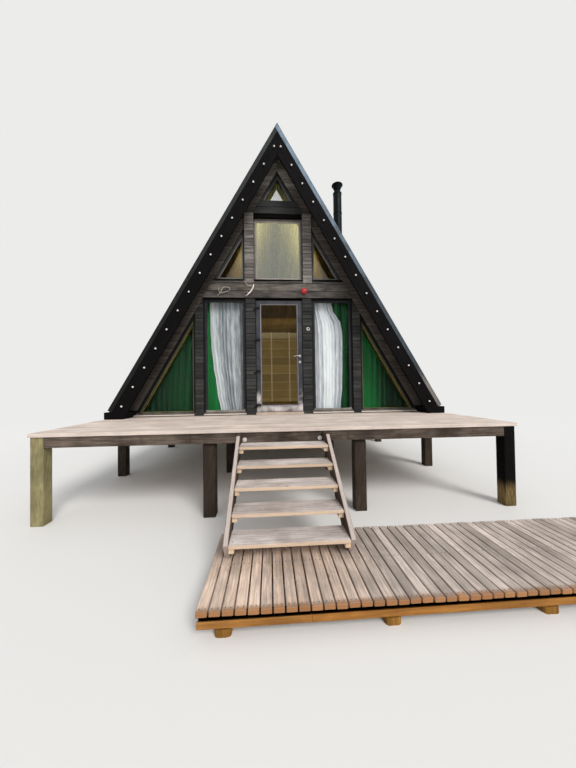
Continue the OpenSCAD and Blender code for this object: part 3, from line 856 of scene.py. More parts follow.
# The paler tint over the left 1.5 m of the walk is painted light, where the planks lay in sun; the orange
# near the ends is real end staining.
WALK = Timber(
    "walk_planks", "walk_timber", srgb(236, 221, 211), srgb(138, 129, 122), srgb(212, 198, 188),
    srgb(92, 78, 68), contrast=0.5, patches=0.5, dirt=0.3, knots=0.5, front=srgb(158, 102, 48),
    tints=(
        Tint(srgb(255, 226, 203), Axis.X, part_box("boardwalk_planks")[0].x + 1.5, 0.7),
        Tint(srgb(172, 116, 60), Axis.Y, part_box("boardwalk_planks")[0].y + 0.075, 0.05),
    ),
)
JOISTS = Timber(
    "orange_joists", "walk_timber", srgb(190, 136, 74), srgb(120, 78, 34), srgb(168, 116, 58),
    srgb(64, 42, 22), patches=0.5,
)
STUMPS = Timber(
    "orange_footings", "footing_timber", srgb(206, 158, 84), srgb(116, 78, 32), srgb(184, 136, 66),
    srgb(70, 46, 20), patches=0.9, dirt=0.5,
)
POST_GREY = Timber(
    "weathered_post", "grey_post", srgb(172, 164, 122), srgb(106, 98, 68), srgb(156, 148, 110),
    srgb(60, 53, 40), streaks=50.0, dirt=0.4,
)
# The pale foot below 0.36 m is painted light: a sunlit patch at the foot of the black post.
POST_BLACK = Timber(
    "stained_post", "black_post", srgb(30, 28, 28), srgb(14, 13, 13), srgb(26, 24, 24), srgb(8, 7, 7),
    gloss=0.02, tints=(Tint(srgb(164, 140, 94), Axis.Z, 0.36, 0.18),),
)
# Dark colour is painted shade: it stands in for the shadow under the deck and the cabin.
UNDER = Timber(
    "dark_under_timber", "dark_timber", srgb(70, 60, 52), srgb(36, 30, 25), srgb(60, 52, 46),
    srgb(22, 17, 13),
)
BLACK_STAIN = Timber(
    "black_boards", "black_stain", srgb(18, 16, 17), srgb(9, 8, 9), srgb(15, 14, 14), srgb(6, 5, 5),
    spread=0.06, rough=0.7, gloss=0.05, depth=0.0006, dirt=0.15,
)
# Near black core: it shows as dark joints in the grooves, and bare under the collar as painted shade.
SHADOW_STAIN = Timber(
    "dark_wall_core", "wall_cladding", srgb(22, 20, 19), srgb(10, 9, 9), srgb(18, 16, 16), srgb(6, 5, 5),
    rough=0.85, gloss=0.02,
)
CLADDING = Timber(
    "grey_brown_cladding", "wall_cladding", srgb(76, 76, 74), srgb(36, 37, 38), srgb(60, 61, 60),
    srgb(28, 26, 25), spread=0.18, rough=0.75, gloss=0.06, dirt=0.3, knots=0.6,
)
# Painted light: the upper piers take the colour of the cladding in sun, paler than the same boards lower
# down.
SUNLIT_CLADDING = Timber(
    "bleached_cladding", "wall_cladding", srgb(158, 152, 147), srgb(70, 66, 63), srgb(126, 120, 115),
    srgb(38, 33, 30), spread=0.2, rough=0.75, gloss=0.06, dirt=0.35, knots=0.6,
)
# Painted light and shade: pale near the apex under the bargeboards, as if in sun, and dark lower down by the
# tint below about 4.6 m, as if in shade.
RAKE = Timber(
    "rake_cladding", "wall_cladding", srgb(226, 219, 208), srgb(104, 96, 89), srgb(200, 192, 180),
    srgb(46, 40, 35), spread=0.2, rough=0.78, gloss=0.04, dirt=0.3,
    tints=(Tint(srgb(40, 35, 33), Axis.Z, DECK_Z + 4.62, 0.4),),
)
# Lightened and strongly blotched as painted light: the blotches stand in for sunlit patches on the stained
# boards.
BEAM = Timber(
    "stained_beam", "beam_boards", srgb(136, 130, 122), srgb(46, 44, 44), srgb(98, 93, 89),
    srgb(28, 25, 24), spread=0.1, rough=0.75, gloss=0.08, dirt=0.35, knots=0.6, patches=0.8,
)
FLOOR = Timber(
    "pine_floor", "floor_timber", srgb(158, 136, 78), srgb(112, 92, 44), srgb(146, 124, 68), srgb(76, 54, 24),
    rough=0.6, gloss=0.06,
    tints=(Tint(srgb(128, 116, 104), Axis.FORWARD, -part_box("back_wall_lower")[1].y + 0.01, 0.01),),
    courses=Courses((0.0, 1.0, 0.0), (1.0, 0.0, 0.0), 0.12),
)
PINE = Timber(
    "pine_lining", "pine", srgb(180, 177, 134), srgb(132, 129, 92), srgb(166, 162, 120), srgb(96, 88, 56),
    rough=0.7, gloss=0.06, dirt=0.1, courses=Courses((1.0, 1.0, 0.0), (0.0, 0.0, 1.0), 0.1),
    tints=(Tint(srgb(192, 160, 102), Axis.Z, DECK_Z + 2.5, 0.1),),
)
# The olive tint below the loft is painted reflection: it stands in for the greenery reflected in the door
# glass; the lower boards are warmer.
PINE_BOARDS = Timber(
    "pine_boards", "pine", srgb(232, 224, 196), srgb(186, 174, 132), srgb(216, 206, 172), srgb(120, 96, 56),
    spread=0.2, rough=0.75, gloss=0.04, dirt=0.15,
    tints=(
        Tint(srgb(156, 130, 54), Axis.Z, DECK_Z + 2.42, 0.12),
        Tint(srgb(214, 188, 112), Axis.Z, DECK_Z + 0.95, 0.8),
    ),
)
PINE_PALE = Timber(
    "pale_battens", "pine", srgb(255, 246, 214), srgb(226, 202, 154), srgb(250, 236, 200), srgb(150, 104, 58),
    dirt=0.05,
)
# Painted shade: a dark finish for the trims that cover the lining beside the corner windows, where it lies in
# shadow.
SHADE_TRIM = Timber(
    "dark_reveal", "pine", srgb(58, 49, 30), srgb(28, 23, 14), srgb(48, 40, 25), srgb(16, 12, 8), gloss=0.04,
)
# Dark as painted shade: the strip of sill timber under the metal lip stands in for the shadow gap under the
# sill.
SILL_WOOD = Timber(
    "sill_wood", "window_sill", srgb(72, 56, 44), srgb(40, 30, 24), srgb(62, 48, 38), srgb(24, 17, 13),
)
SOFFIT = Timber(
    "black_soffit", "black_stain", srgb(38, 34, 35), srgb(20, 18, 19), srgb(32, 29, 30), srgb(10, 8, 8),
    rough=0.75, gloss=0.04, courses=Courses((0.0, 1.0, 0.0), (0.0, 0.0, 1.0), 0.12),
)
CORE = Timber(
    "wood_fibre", "roof_core", srgb(178, 150, 108), srgb(142, 114, 76), srgb(168, 140, 98), srgb(96, 72, 44),
    streaks=200.0, courses=Courses((0.0, 1.0, 0.0), (0.0, 0.0, 1.0), 0.6, 0.002),
)
ROOF_STEEL = Metal(
    "roof_steel", "roof_metal", srgb(92, 104, 122), srgb(54, 64, 80), metallic=0.2, rough=0.42, coat=0.1,
    gloss=0.4, rain=0.4,
)
# The verge strips are lit and shaded copies of one steel, painted light and shade: the right strip pale as in
# light, darker towards its foot, with a painted highlight near the deck.
TRIM_LIT = Metal(
    "trim_steel_right", "trim_metal", srgb(120, 139, 156), srgb(66, 80, 92), rough=0.5, gloss=0.2,
    tints=(
        Tint(srgb(36, 40, 40), Axis.Z, DECK_Z + 4.9, 3.0),
        Tint(srgb(128, 120, 114), Axis.Z, DECK_Z + 0.75, 0.25),
    ),
)
# The left strip is dark as painted shade, darker still towards its foot.
TRIM_SHADED = Metal(
    "trim_steel_left", "trim_metal", srgb(50, 55, 55), srgb(30, 32, 33), rough=0.55, gloss=0.12,
    tints=(Tint(srgb(21, 21, 21), Axis.Z, DECK_Z + 4.4, 2.8),),
)
# Dark as painted shade: it stands in for the shade on the ridge cap's edges.
CAP_DARK = Metal("ridge_steel", "trim_metal", srgb(40, 46, 54), srgb(16, 18, 21), rough=0.5, gloss=0.2)
FLUE_STEEL = Metal(
    "flue_steel", "flue_metal", srgb(12, 18, 21), srgb(5, 8, 9), metallic=0.0, rough=0.4, gloss=0.08,
)
# The pale bottom rail, below about 0.44 m, is painted light on the dark door metal.
DOOR_METAL = Metal(
    "door_coat", "door_metal", srgb(70, 71, 76), srgb(34, 35, 39), metallic=0.2, rough=0.36, gloss=0.26,
    marks=0.7, tints=(Tint(srgb(226, 219, 217), Axis.Z, DECK_Z + 0.44, 0.3),),
)
# The lighter bead round the pane is a painted highlight.
DOOR_BEAD = Metal(
    "door_bead", "door_metal", srgb(140, 141, 150), srgb(90, 91, 99), metallic=0.2, rough=0.34, gloss=0.3,
)
# Dark as painted shade: the liner stands in for the shadow in the windows' recess and round the door leaf;
# paler at its foot.
LINER = Metal(
    "window_liner_coat", "window_frame", srgb(30, 31, 34), srgb(16, 17, 19), rough=0.5, gloss=0.12,
    tints=(Tint(srgb(112, 108, 102), Axis.Z, DECK_Z + 0.08, 0.02),),
)
LINER_GREY = Metal(
    "window_liner_grey", "window_frame", srgb(72, 73, 72), srgb(44, 45, 45), rough=0.5, gloss=0.12,
)
LINER_PALE = Metal(
    "window_liner_pale", "window_frame", srgb(120, 114, 108), srgb(78, 74, 70), rough=0.5, gloss=0.12,
)
BEAD_DARK = Metal(
    "window_bead_slate", "window_frame", srgb(47, 48, 50), srgb(28, 29, 31),
    tints=(Tint(srgb(150, 147, 141), Axis.Z, DECK_Z + 0.115, 0.02),),
)
BEAD_GREY = Metal("window_bead_grey", "window_frame", srgb(122, 122, 122), srgb(84, 84, 85))
BEAD_PALE = Metal("window_bead_pale", "window_frame", srgb(158, 153, 147), srgb(110, 106, 102))
BEAD_OLIVE = Metal("window_bead_olive", "window_frame", srgb(122, 117, 82), srgb(66, 63, 42))
SILL_METAL = Metal(
    "sill_metal", "window_sill", srgb(248, 236, 224), srgb(196, 184, 172), rough=0.4, gloss=0.3,
)
STEEL = Metal(
    "satin_steel", "handle_metal", srgb(196, 196, 194), srgb(126, 126, 126),
    metallic=1.0, rough=0.28, gloss=0.4, marks=0.2,
)
HINGE_STEEL = Metal("hinge_steel", "hinge_metal", srgb(30, 29, 30), srgb(14, 14, 15), metallic=0.3)
SCREW_STEEL = Metal(
    "screw_steel", "hinge_metal", srgb(120, 112, 104), srgb(60, 52, 46), metallic=1.0, rough=0.5, gloss=0.4,
)
THRESHOLD = Metal(
    "threshold_metal", "threshold", srgb(204, 188, 174), srgb(140, 124, 110), metallic=0.2, gloss=0.4,
)
GLASS = Pane("window_glass", "window_pane", srgb(252, 253, 251), ior=1.14)
# Its green tone is painted reflection: it stands in for the trees reflected in the upper windows.
GLASS_UPPER = Pane("upper_glass", "window_pane", srgb(232, 238, 214), ior=2.1)
GLASS_SIDE = Pane("side_glass", "window_pane", srgb(176, 164, 150))
GLASS_GABLE = Pane("gable_glass", "window_pane", srgb(214, 228, 236), ior=4.4)
TRACK = Hard("track_white", "track", srgb(190, 190, 186), srgb(160, 160, 156))
NET = Cloth("net_cloth", "white_net", srgb(240, 244, 252), srgb(150, 157, 172), threads=180.0, thin=0.08)
# A shaded copy of the net cloth for the left curtain: painted shade.
NET_SHADED = Cloth(
    "net_cloth_dim", "white_net", srgb(212, 218, 226), srgb(112, 120, 130), threads=180.0, thin=0.16,
)
GREEN = Cloth("green_satin", "green_cloth", srgb(14, 118, 54), srgb(1, 38, 15), rough=0.55, sheen=0.0)
BULB = Hard("bulb_white", "light_lens", srgb(232, 229, 226), srgb(200, 196, 192), rough=0.3)
LENS = Hard("lens_white", "light_lens", srgb(238, 232, 234), srgb(214, 206, 210), rough=0.3)
RED = Hard("red_enamel", "light_lens", srgb(184, 14, 26), srgb(104, 6, 12), rough=0.5, coat=0.05)
BONE = Hard(
    "pale_antler", "beam_boards", srgb(238, 230, 222), srgb(180, 168, 154), rough=0.6, coat=0.0, scale=22.0,
    depth=0.002,
)
TINE = Hard(
    "dull_antler", "beam_boards", srgb(176, 168, 156), srgb(104, 96, 86), rough=0.7, coat=0.0, scale=22.0,
    depth=0.002,
)
BLACK_SPOT = Hard("dark_button", "hinge_metal", srgb(24, 22, 22), srgb(12, 11, 11), coat=0.0)


# Pieces


def grain_frame(along: Vector) -> Matrix:
    """Turns a place so that its X runs along the grain."""
    side = UP if abs(along.z) < 0.9 else INWARD
    across = (side - along * side.dot(along)).normalized()
    return Matrix((along, across, along.cross(across)))


def lay_grain(mesh: bpy.types.Mesh, along: Vector | None) -> None:
    """Gives each loose board of a mesh its own grain place and its own chance value.

    Args:
        mesh: a finished mesh.
        along: direction of the grain, or None for the longest edge of each board.
    """
    n = len(mesh.vertices)
    root = list(range(n))

    def find(i: int) -> int:
        """First corner of the board that a corner belongs to."""
        while root[i] != i:
            root[i] = root[root[i]]
            i = root[i]
        return i

    for edge in mesh.edges:
        a, b = find(edge.vertices[0]), find(edge.vertices[1])
        if a != b:
            root[max(a, b)] = min(a, b)
    places = [v.co for v in mesh.vertices]
    longest: dict[int, Vector] = {}
    if along is None:
        for edge in mesh.edges:
            run = places[edge.vertices[1]] - places[edge.vertices[0]]
            key = find(edge.vertices[0])
            if run.length > longest.get(key, Vector((0, 0, 0))).length:
                longest[key] = run
    turns: dict[int, Matrix] = {}
    chances: dict[int, float] = {}
    grain = [0.0] * (3 * n)
    board = [0.0] * n
    for i in range(n):
        key = find(i)
        if key not in turns:
            run = along if along is not None else longest.get(key, ACROSS)
            turns[key] = grain_frame(run.normalized())
            spot = places[key]
            chances[key] = random.Random(f"{spot.x:.2f} {spot.y:.2f} {spot.z:.2f}").random()
        p = turns[key] @ places[i]
        chance = chances[key]
        grain[3 * i:3 * i + 3] = (p.x + chance * 11.0, p.y + chance * 3.0, p.z + chance * 5.0)
        board[i] = chance
    mesh.attributes.new("grain", "FLOAT_VECTOR", "POINT").data.foreach_set("vector", grain)
    mesh.attributes.new("board", "FLOAT", "POINT").data.foreach_set("value", board)


def settle(
    name: str,
    form: Shape | bpy.types.Mesh,
    finish: Finish,
    stands_for: Sequence[str] = (),
    along: Vector | None = None,
    smooth: bool = False,
    body: Body = Body.CABIN,
) -> bpy.types.Object:
    """Makes a piece of a shape or mesh, gives it its finish and lets it ride on its body.

    Args:
        name: name of the piece.
        form: its shape or mesh, in the frame of the model.
        finish: its finish.
        stands_for: the CAD nodes that it stands for.
        along: direction of the grain, where the longest edge doesn't give it.
        smooth: whether its soft angles are shaded as round.
        body: the body that it rides on.

    Returns:
        The new object.
    """
    mesh = form.mesh(name) if isinstance(form, Shape) else form
    piece = bpy.data.objects.new(name, mesh)
    bpy.context.scene.collection.objects.link(piece)
    mesh.materials.clear()
    mesh.materials.append(finish.material())
    mesh.polygons.foreach_set("material_index", [0] * len(mesh.polygons))
    if isinstance(finish, Timber):
        lay_grain(mesh, along)
    if smooth:
        mesh.polygons.foreach_set("use_smooth", [True] * len(mesh.polygons))
        mesh.set_sharp_from_angle(angle=math.radians(38))
    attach(piece, body.value)
    if stands_for:
        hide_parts(*stands_for)
    log.info("%s: %d faces, %s", name, len(mesh.polygons), finish.name)
    return piece


def dress(node: str, finish: Finish) -> None:
    """Gives a CAD node that stays in view a finish."""
    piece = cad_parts[node]
    if not piece.material_slots:
        piece.data.materials.append(finish.material())
    for slot in piece.material_slots:
        slot.material = finish.material()
    log.info("%s keeps its shape, %s", node, finish.name)


def carve(node: str, finish: Finish, edge: float, body: Body = Body.CABIN) -> bpy.types.Object:
    """Replaces a CAD node by a copy with eased edges."""
    return settle(f"{node}_eased", eased(node, edge), finish, [node], body=body)


# Geometry Nodes


class Pattern:
    """A Geometry Nodes tree that is built once and run on carrier meshes."""

    def __init__(
        self,
        name: str,
        sockets: Sequence[tuple[str, str]],
        fill: Callable[[Graph, Take], Socket],
    ) -> None:
        """Builds the tree.

        Args:
            name: name of the tree.
            sockets: name and kind of each input for a size.
            fill: places the nodes and returns the instances.
        """
        self.tree = bpy.data.node_groups.new(name, "GeometryNodeTree")
        face = self.tree.interface
        face.new_socket(name="Geometry", in_out="INPUT", socket_type="NodeSocketGeometry")
        for label, kind in (*sockets, ("Finish", "Material")):
            face.new_socket(name=label, in_out="INPUT", socket_type=f"NodeSocket{kind}")
        face.new_socket(name="Geometry", in_out="OUTPUT", socket_type="NodeSocketGeometry")
        graph = Graph(self.tree)
        source = graph.add("NodeGroupInput")
        copies = fill(graph, lambda label: source.outputs[label])
        real = graph.add("GeometryNodeRealizeInstances", {"Geometry": copies})
        dressed = {"Geometry": real.outputs[0], "Material": source.outputs["Finish"]}
        done = graph.add("GeometryNodeSetMaterial", dressed)
        graph.add("NodeGroupOutput", {"Geometry": done.outputs[0]})

    def run(self, carrier: bpy.types.Mesh, finish: Finish, **values: object) -> bpy.types.Mesh:
        """Runs the tree on a mesh.

        Args:
            carrier: the mesh that the tree takes.
            finish: the finish of the result.
            values: the value of each input, by its name with underscores.

        Returns:
            A plain mesh.
        """
        holder = bpy.data.objects.new("carrier", carrier)
        bpy.context.scene.collection.objects.link(holder)
        modifier = holder.modifiers.new("pattern", "NODES")
        modifier.node_group = self.tree
        values["Finish"] = finish.material()
        for item in self.tree.interface.items_tree:
            if item.item_type == "SOCKET" and item.in_out == "INPUT" and item.name in values:
                modifier[item.identifier] = values[item.name]
        graph = bpy.context.evaluated_depsgraph_get()
        mesh = bpy.data.meshes.new_from_object(holder.evaluated_get(graph))
        holder.modifiers.remove(modifier)
        bpy.data.objects.remove(holder)
        return mesh


def fill_row(g: Graph, take: Take) -> Socket:
    """Repeats the carrier along a step, with small seeded shifts and turns."""
    line = g.add("GeometryNodeMeshLine", {"Count": take("Count"), "Offset": take("Step")}, mode="OFFSET")
    shifts = []
    for amount, extra in ((take("Shake"), 0), (take("Turn"), 7)):
        chance = g.add("FunctionNodeRandomValue", data_type="FLOAT_VECTOR")
        low, high = [s for s in chance.inputs if s.enabled and s.name in ("Min", "Max")]
        g.put(low, g.vector("MULTIPLY", amount, (-1.0, -1.0, -1.0)))
        g.put(high, amount)
        g.put(chance.inputs["Seed"], g.math("ADD", take("Seed"), extra))
        shifts.append([s for s in chance.outputs if s.enabled][0])
    moved = g.add("GeometryNodeSetPosition", {"Geometry": line.outputs[0], "Offset": shifts[0]})
    inputs = {"Points": moved.outputs[0], "Instance": take("Geometry"), "Rotation": shifts[1]}
    return g.add("GeometryNodeInstanceOnPoints", inputs).outputs[0]


def fill_studs(g: Graph, take: Take) -> Socket:
    """Stands a copy of the stud on each point of the carrier, along the point's aim."""
    stud = g.add("GeometryNodeObjectInfo", {"Object": take("Stud")}, transform_space="ORIGINAL")
    aim = g.add("GeometryNodeInputNamedAttribute", {"Name": "aim"}, data_type="FLOAT_VECTOR")
    turn = g.add("FunctionNodeAlignRotationToVector", {"Vector": aim.outputs[0]}, axis="Z")
    points = g.add("GeometryNodeMeshToPoints", {"Mesh": take("Geometry")})
    inputs = {"Points": points.outputs[0], "Instance": stud.outputs["Geometry"], "Rotation": turn.outputs[0]}
    return g.add("GeometryNodeInstanceOnPoints", inputs).outputs[0]


ROW = Pattern(
    "board_row",
    [("Count", "Int"), ("Step", "Vector"), ("Shake", "Vector"), ("Turn", "Vector"), ("Seed", "Int")],
    fill_row,
)
STUDS = Pattern("stud_field", [("Stud", "Object")], fill_studs)


def row(
    name: str, unit: Shape, count: int, step: Vector, finish: Finish, shake: Place = (0, 0, 0),
    turn: Place = (0, 0, 0), stands_for: Sequence[str] = (), along: Vector | None = None, seed: int = 3,
) -> bpy.types.Object:
    """Repeats one board in a row.

    Args:
        name: name of the piece.
        unit: the first board, round the model's origin.
        count: number of boards.
        step: from one board to the next.
        finish: finish of the boards.
        shake: most that a board shifts along each axis.
        turn: most that a board turns about each axis, in radians.
        stands_for: the CAD nodes that the row stands for.
        along: direction of the grain.
        seed: seed of the shifts and turns.

    Returns:
        The new object.
    """
    start = unit.corners[0].copy()
    mesh = unit.mesh(name)
    mesh.transform(Matrix.Translation(-start))
    made = ROW.run(mesh, finish, Count=count, Step=step, Shake=Vector(shake), Turn=Vector(turn), Seed=seed)
    made.transform(Matrix.Translation(start))
    return settle(name, made, finish, stands_for, along)


def studs(
    name: str, spots: Sequence[tuple[Vector, Vector]], profile: Points, finish: Finish, sides: int
) -> bpy.types.Object:
    """Stands the same small turned shape on many spots.

    Args:
        name: name of the piece.
        spots: place and direction of each one.
        profile: distance along the axis and radius of the shape.
        finish: finish of the shapes.
        sides: faces round each shape.

    Returns:
        The new object.
    """
    shape = Shape()
    shape.lathe(Vector(), UP, profile, sides)
    stud = bpy.data.objects.new("stud", shape.mesh("stud"))
    carrier = bpy.data.meshes.new("spots")
    carrier.from_pydata([tuple(p) for p, _ in spots], [], [])
    aims = [c for _, aim in spots for c in aim.normalized()]
    carrier.attributes.new("aim", "FLOAT_VECTOR", "POINT").data.foreach_set("vector", aims)
    mesh = STUDS.run(carrier, finish, Stud=stud)
    bpy.data.objects.remove(stud)
    return settle(name, mesh, finish, smooth=True)


SCREW = [(-0.002, 0.0045), (0.0006, 0.0045), (0.001, 0.0036), (0.0011, 0.0)]
WASHER_SCREW = [(-0.001, 0.008), (0.0004, 0.008), (0.0006, 0.0045), (0.0006, 0.0)]
BOLT = [(-0.001, 0.007), (0.003, 0.007), (0.004, 0.004), (0.004, 0.0)]
BULB_SOCKET = [(0.0, 0.012), (0.004, 0.013), (0.010, 0.011), (0.011, 0.0)]


# The house


@dataclass
class Porch:
    """Porch deck with its boards, fascia, posts and step lights."""

    boards: int = 13
    gap: float = 0.006
    edge: float = 0.004
    joints: tuple[float, float] = (-1.18, 0.79)
    light_r: float = 0.027
    end_gap: float = 0.004
    bearer_x: float = 0.95
    end_screws: float = 0.1
    screw_in: float = 0.03

    def build(self) -> None:
        """Builds and dresses the porch."""
        self.lay_boards()
        self.hang_fascia()
        carve("deck_post_left", POST_GREY, 0.008)
        carve("deck_post_right", POST_BLACK, 0.008)
        carve("foundation_posts", UNDER, 0.006)
        carve("floor_bearers", UNDER, 0.005)
        dress("cabin_floor", FLOOR)
        self.set_lights()

    def lay_boards(self) -> None:
        """Lays the deck boards and their screws."""
        low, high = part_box("porch_deck")
        pitch = (high.y - low.y) / self.boards
        thick = high.z - low.z
        wide = pitch - self.gap
        unit = Shape()
        y, z = low.y + wide / 2, low.z + thick / 2
        unit.bar(
            Vector((low.x + self.end_gap, y, z)), Vector((high.x - self.end_gap, y, z)), INWARD,
            wide, thick, self.edge,
        )
        row(
            "deck_boards", unit, self.boards, Vector((0, pitch, 0)), DECK_BOARDS, (0.003, 0, 0), (0, 0, 0),
            ["porch_deck"], ACROSS,
        )
        lines = (low.x + self.end_screws, -self.bearer_x, self.bearer_x, high.x - self.end_screws)
        spots = [
            (Vector((x, low.y + pitch * i + side, high.z)), UP)
            for i in range(self.boards) for x in lines for side in (self.screw_in, wide - self.screw_in)
        ]
        studs("deck_screws", spots, SCREW, SCREW_STEEL, sides=8)

    def hang_fascia(self) -> None:
        """Hangs the three boards of the fascia beam."""
        low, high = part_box("deck_fascia")
        cuts = [low.x, *self.joints, high.x]
        shape = Shape()
        y, z = (low.y + high.y) / 2, (low.z + high.z) / 2
        for a, b in zip(cuts, cuts[1:]):
            shape.bar(
                Vector((a + 0.0015, y, z)), Vector((b - 0.0015, y, z)), UP,
                high.z - low.z, high.y - low.y, self.edge,
            )
        settle("fascia_boards", shape, FASCIA, ["deck_fascia"], ACROSS)

    def set_lights(self) -> None:
        """Sets the round step lights into the fascia."""
        rim, lens = Shape(), Shape()
        r = self.light_r
        edge = [(0, r), (0.007, r), (0.0095, r - 0.002), (0.0095, r - 0.005), (0.004, r - 0.007), (0.004, 0)]
        dome = [(0.003, r - 0.007), (0.006, r - 0.008), (0.0085, r - 0.013), (0.0095, 0.004), (0.0096, 0)]
        for part in solids("step_lights"):
            (x, _, z), back = middle_of(part), corners_of(part)[1].y
            for shape, profile in ((rim, edge), (lens, dome)):
                shape.lathe(Vector((x, back, z)), AHEAD, profile)
        settle("step_light_rims", rim, LENS, ["step_lights"], smooth=True)
        settle("step_light_lenses", lens, BULB, smooth=True)


@dataclass
class Stair:
    """Open stair of two stringers, five treads and the cleats under them."""

    edge: float = 0.004
    round_edge: float = 0.006
    screw_in: float = 0.03
    screw_near: float = 0.06
    screw_far: float = 0.08

    def build(self) -> None:
        """Builds and dresses the stair."""
        carve("stair_stringers", STRINGERS, self.edge)
        treads = eased("stair_treads", self.round_edge, 2)
        settle("stair_tread_boards", treads, TREADS, ["stair_treads"], ACROSS, smooth=True)
        carve("stair_cleats", CLEATS, 0.003)
        spots = []
        for part in solids("stair_treads"):
            low, high = corners_of(part)
            for x in (low.x + self.screw_in, high.x - self.screw_in):
                for y in (low.y + self.screw_near, high.y - self.screw_far):
                    spots.append((Vector((x, y, high.z)), UP))
        studs("tread_screws", spots, SCREW, SCREW_STEEL, sides=8)


@dataclass
class Walk:
    """Plank walk that the stair stands on."""

    pitch: float = 0.0835
    gap: float = 0.011
    thick: float = 0.034
    back: float = 0.019
    edge: float = 0.003
    joist_edge: float = 0.004
    shift: float = -0.024
    step_deep: float = 0.05
    face: tuple[float, float] = (0.03, 0.079)
    joint: float = 0.06
    stump: float = 0.114

    def build(self) -> None:
        """Builds and dresses the walk."""
        low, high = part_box("boardwalk_planks")
        count = round((high.x - low.x) / self.pitch)
        pitch = (high.x - low.x) / count
        wide = pitch - self.gap
        unit = Shape()
        x, z = low.x + self.shift + wide / 2, high.z - 0.001 - self.thick / 2
        unit.bar(
            Vector((x, low.y + self.back, z)), Vector((x, high.y - 0.006, z)), ACROSS, wide, self.thick,
            self.edge,
        )
        row(
            "walk_planks", unit, count, Vector((pitch, 0, 0)), WALK, (0, 0.003, 0.0008), (0, 0, 0.0012),
            ["boardwalk_planks"], INWARD, 11,
        )
        self.lay_joists()
        self.stand_footings()
        beds = sorted({round(middle_of(part)[1], 3) for part in solids("boardwalk_joists")})
        spots = [
            (Vector((low.x + self.shift + pitch * i + side, y, high.z - 0.0012)), UP)
            for i in range(count) for y in beds for side in (0.018, wide - 0.018)
        ]
        studs("walk_screws", spots, SCREW, SCREW_STEEL, sides=6)

    def lay_joists(self) -> None:
        """Lays the joists, whose near one is set back above and below its face."""
        shape = Shape()
        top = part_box("boardwalk_planks")[1].z - 0.001 - self.thick - LAYER_GAP
        boxes = sorted((corners_of(part) for part in solids("boardwalk_joists")), key=lambda box: box[0].y)
        for i, (low, high) in enumerate(boxes):
            near, y, cut = i == 0, low.y, self.joist_edge
            back = y + (self.step_deep if near else cut)
            head, foot = (top - self.face[0], top - self.face[1]) if near else (top - cut, low.z + cut)
            section = [
                (back, top), (back, head - (0.03 if near else 0.0)), (y + cut, head), (y, head - cut),
                (y, foot + cut), (y + cut, foot), (back, foot), (back, low.z), (high.y, low.z), (high.y, top),
            ]
            stops = [low.x + 1.9 * self.shift, self.joint, high.x] if near else [low.x, high.x]
            for a, b in zip(stops, stops[1:]):
                shape.loft([[Vector((x, y, z)) for y, z in section] for x in (a + 0.001, b - 0.001)])
        settle("walk_joists", shape, JOISTS, ["boardwalk_joists"], ACROSS)

    def stand_footings(self) -> None:
        """Stands the rough-hewn stumps that carry the joists."""
        shape = Shape()
        for i, part in enumerate(solids("boardwalk_footings")):
            low, high = corners_of(part)
            chance = random.Random(40 + i)
            r = self.stump / 2
            middle = (low.y + high.y) / 2
            ring = []
            for k in range(24):
                a = k * math.tau / 24
                square = min(1.22, 1.0 / max(abs(math.cos(a)), abs(math.sin(a))))
                reach = r * (1.0 - 0.03 * chance.random()) * square
                ring.append((math.cos(a) * reach, math.sin(a) * reach))
            shape.loft([
                [Vector((low.x + r + x * f, middle + y * f, z)) for x, y in ring]
                for z, f in ((low.z, 1.0), (high.z - 0.006, 0.995), (high.z - 0.0004, 0.96))
            ])
        settle("walk_stumps", shape, STUMPS, ["boardwalk_footings"], UP)


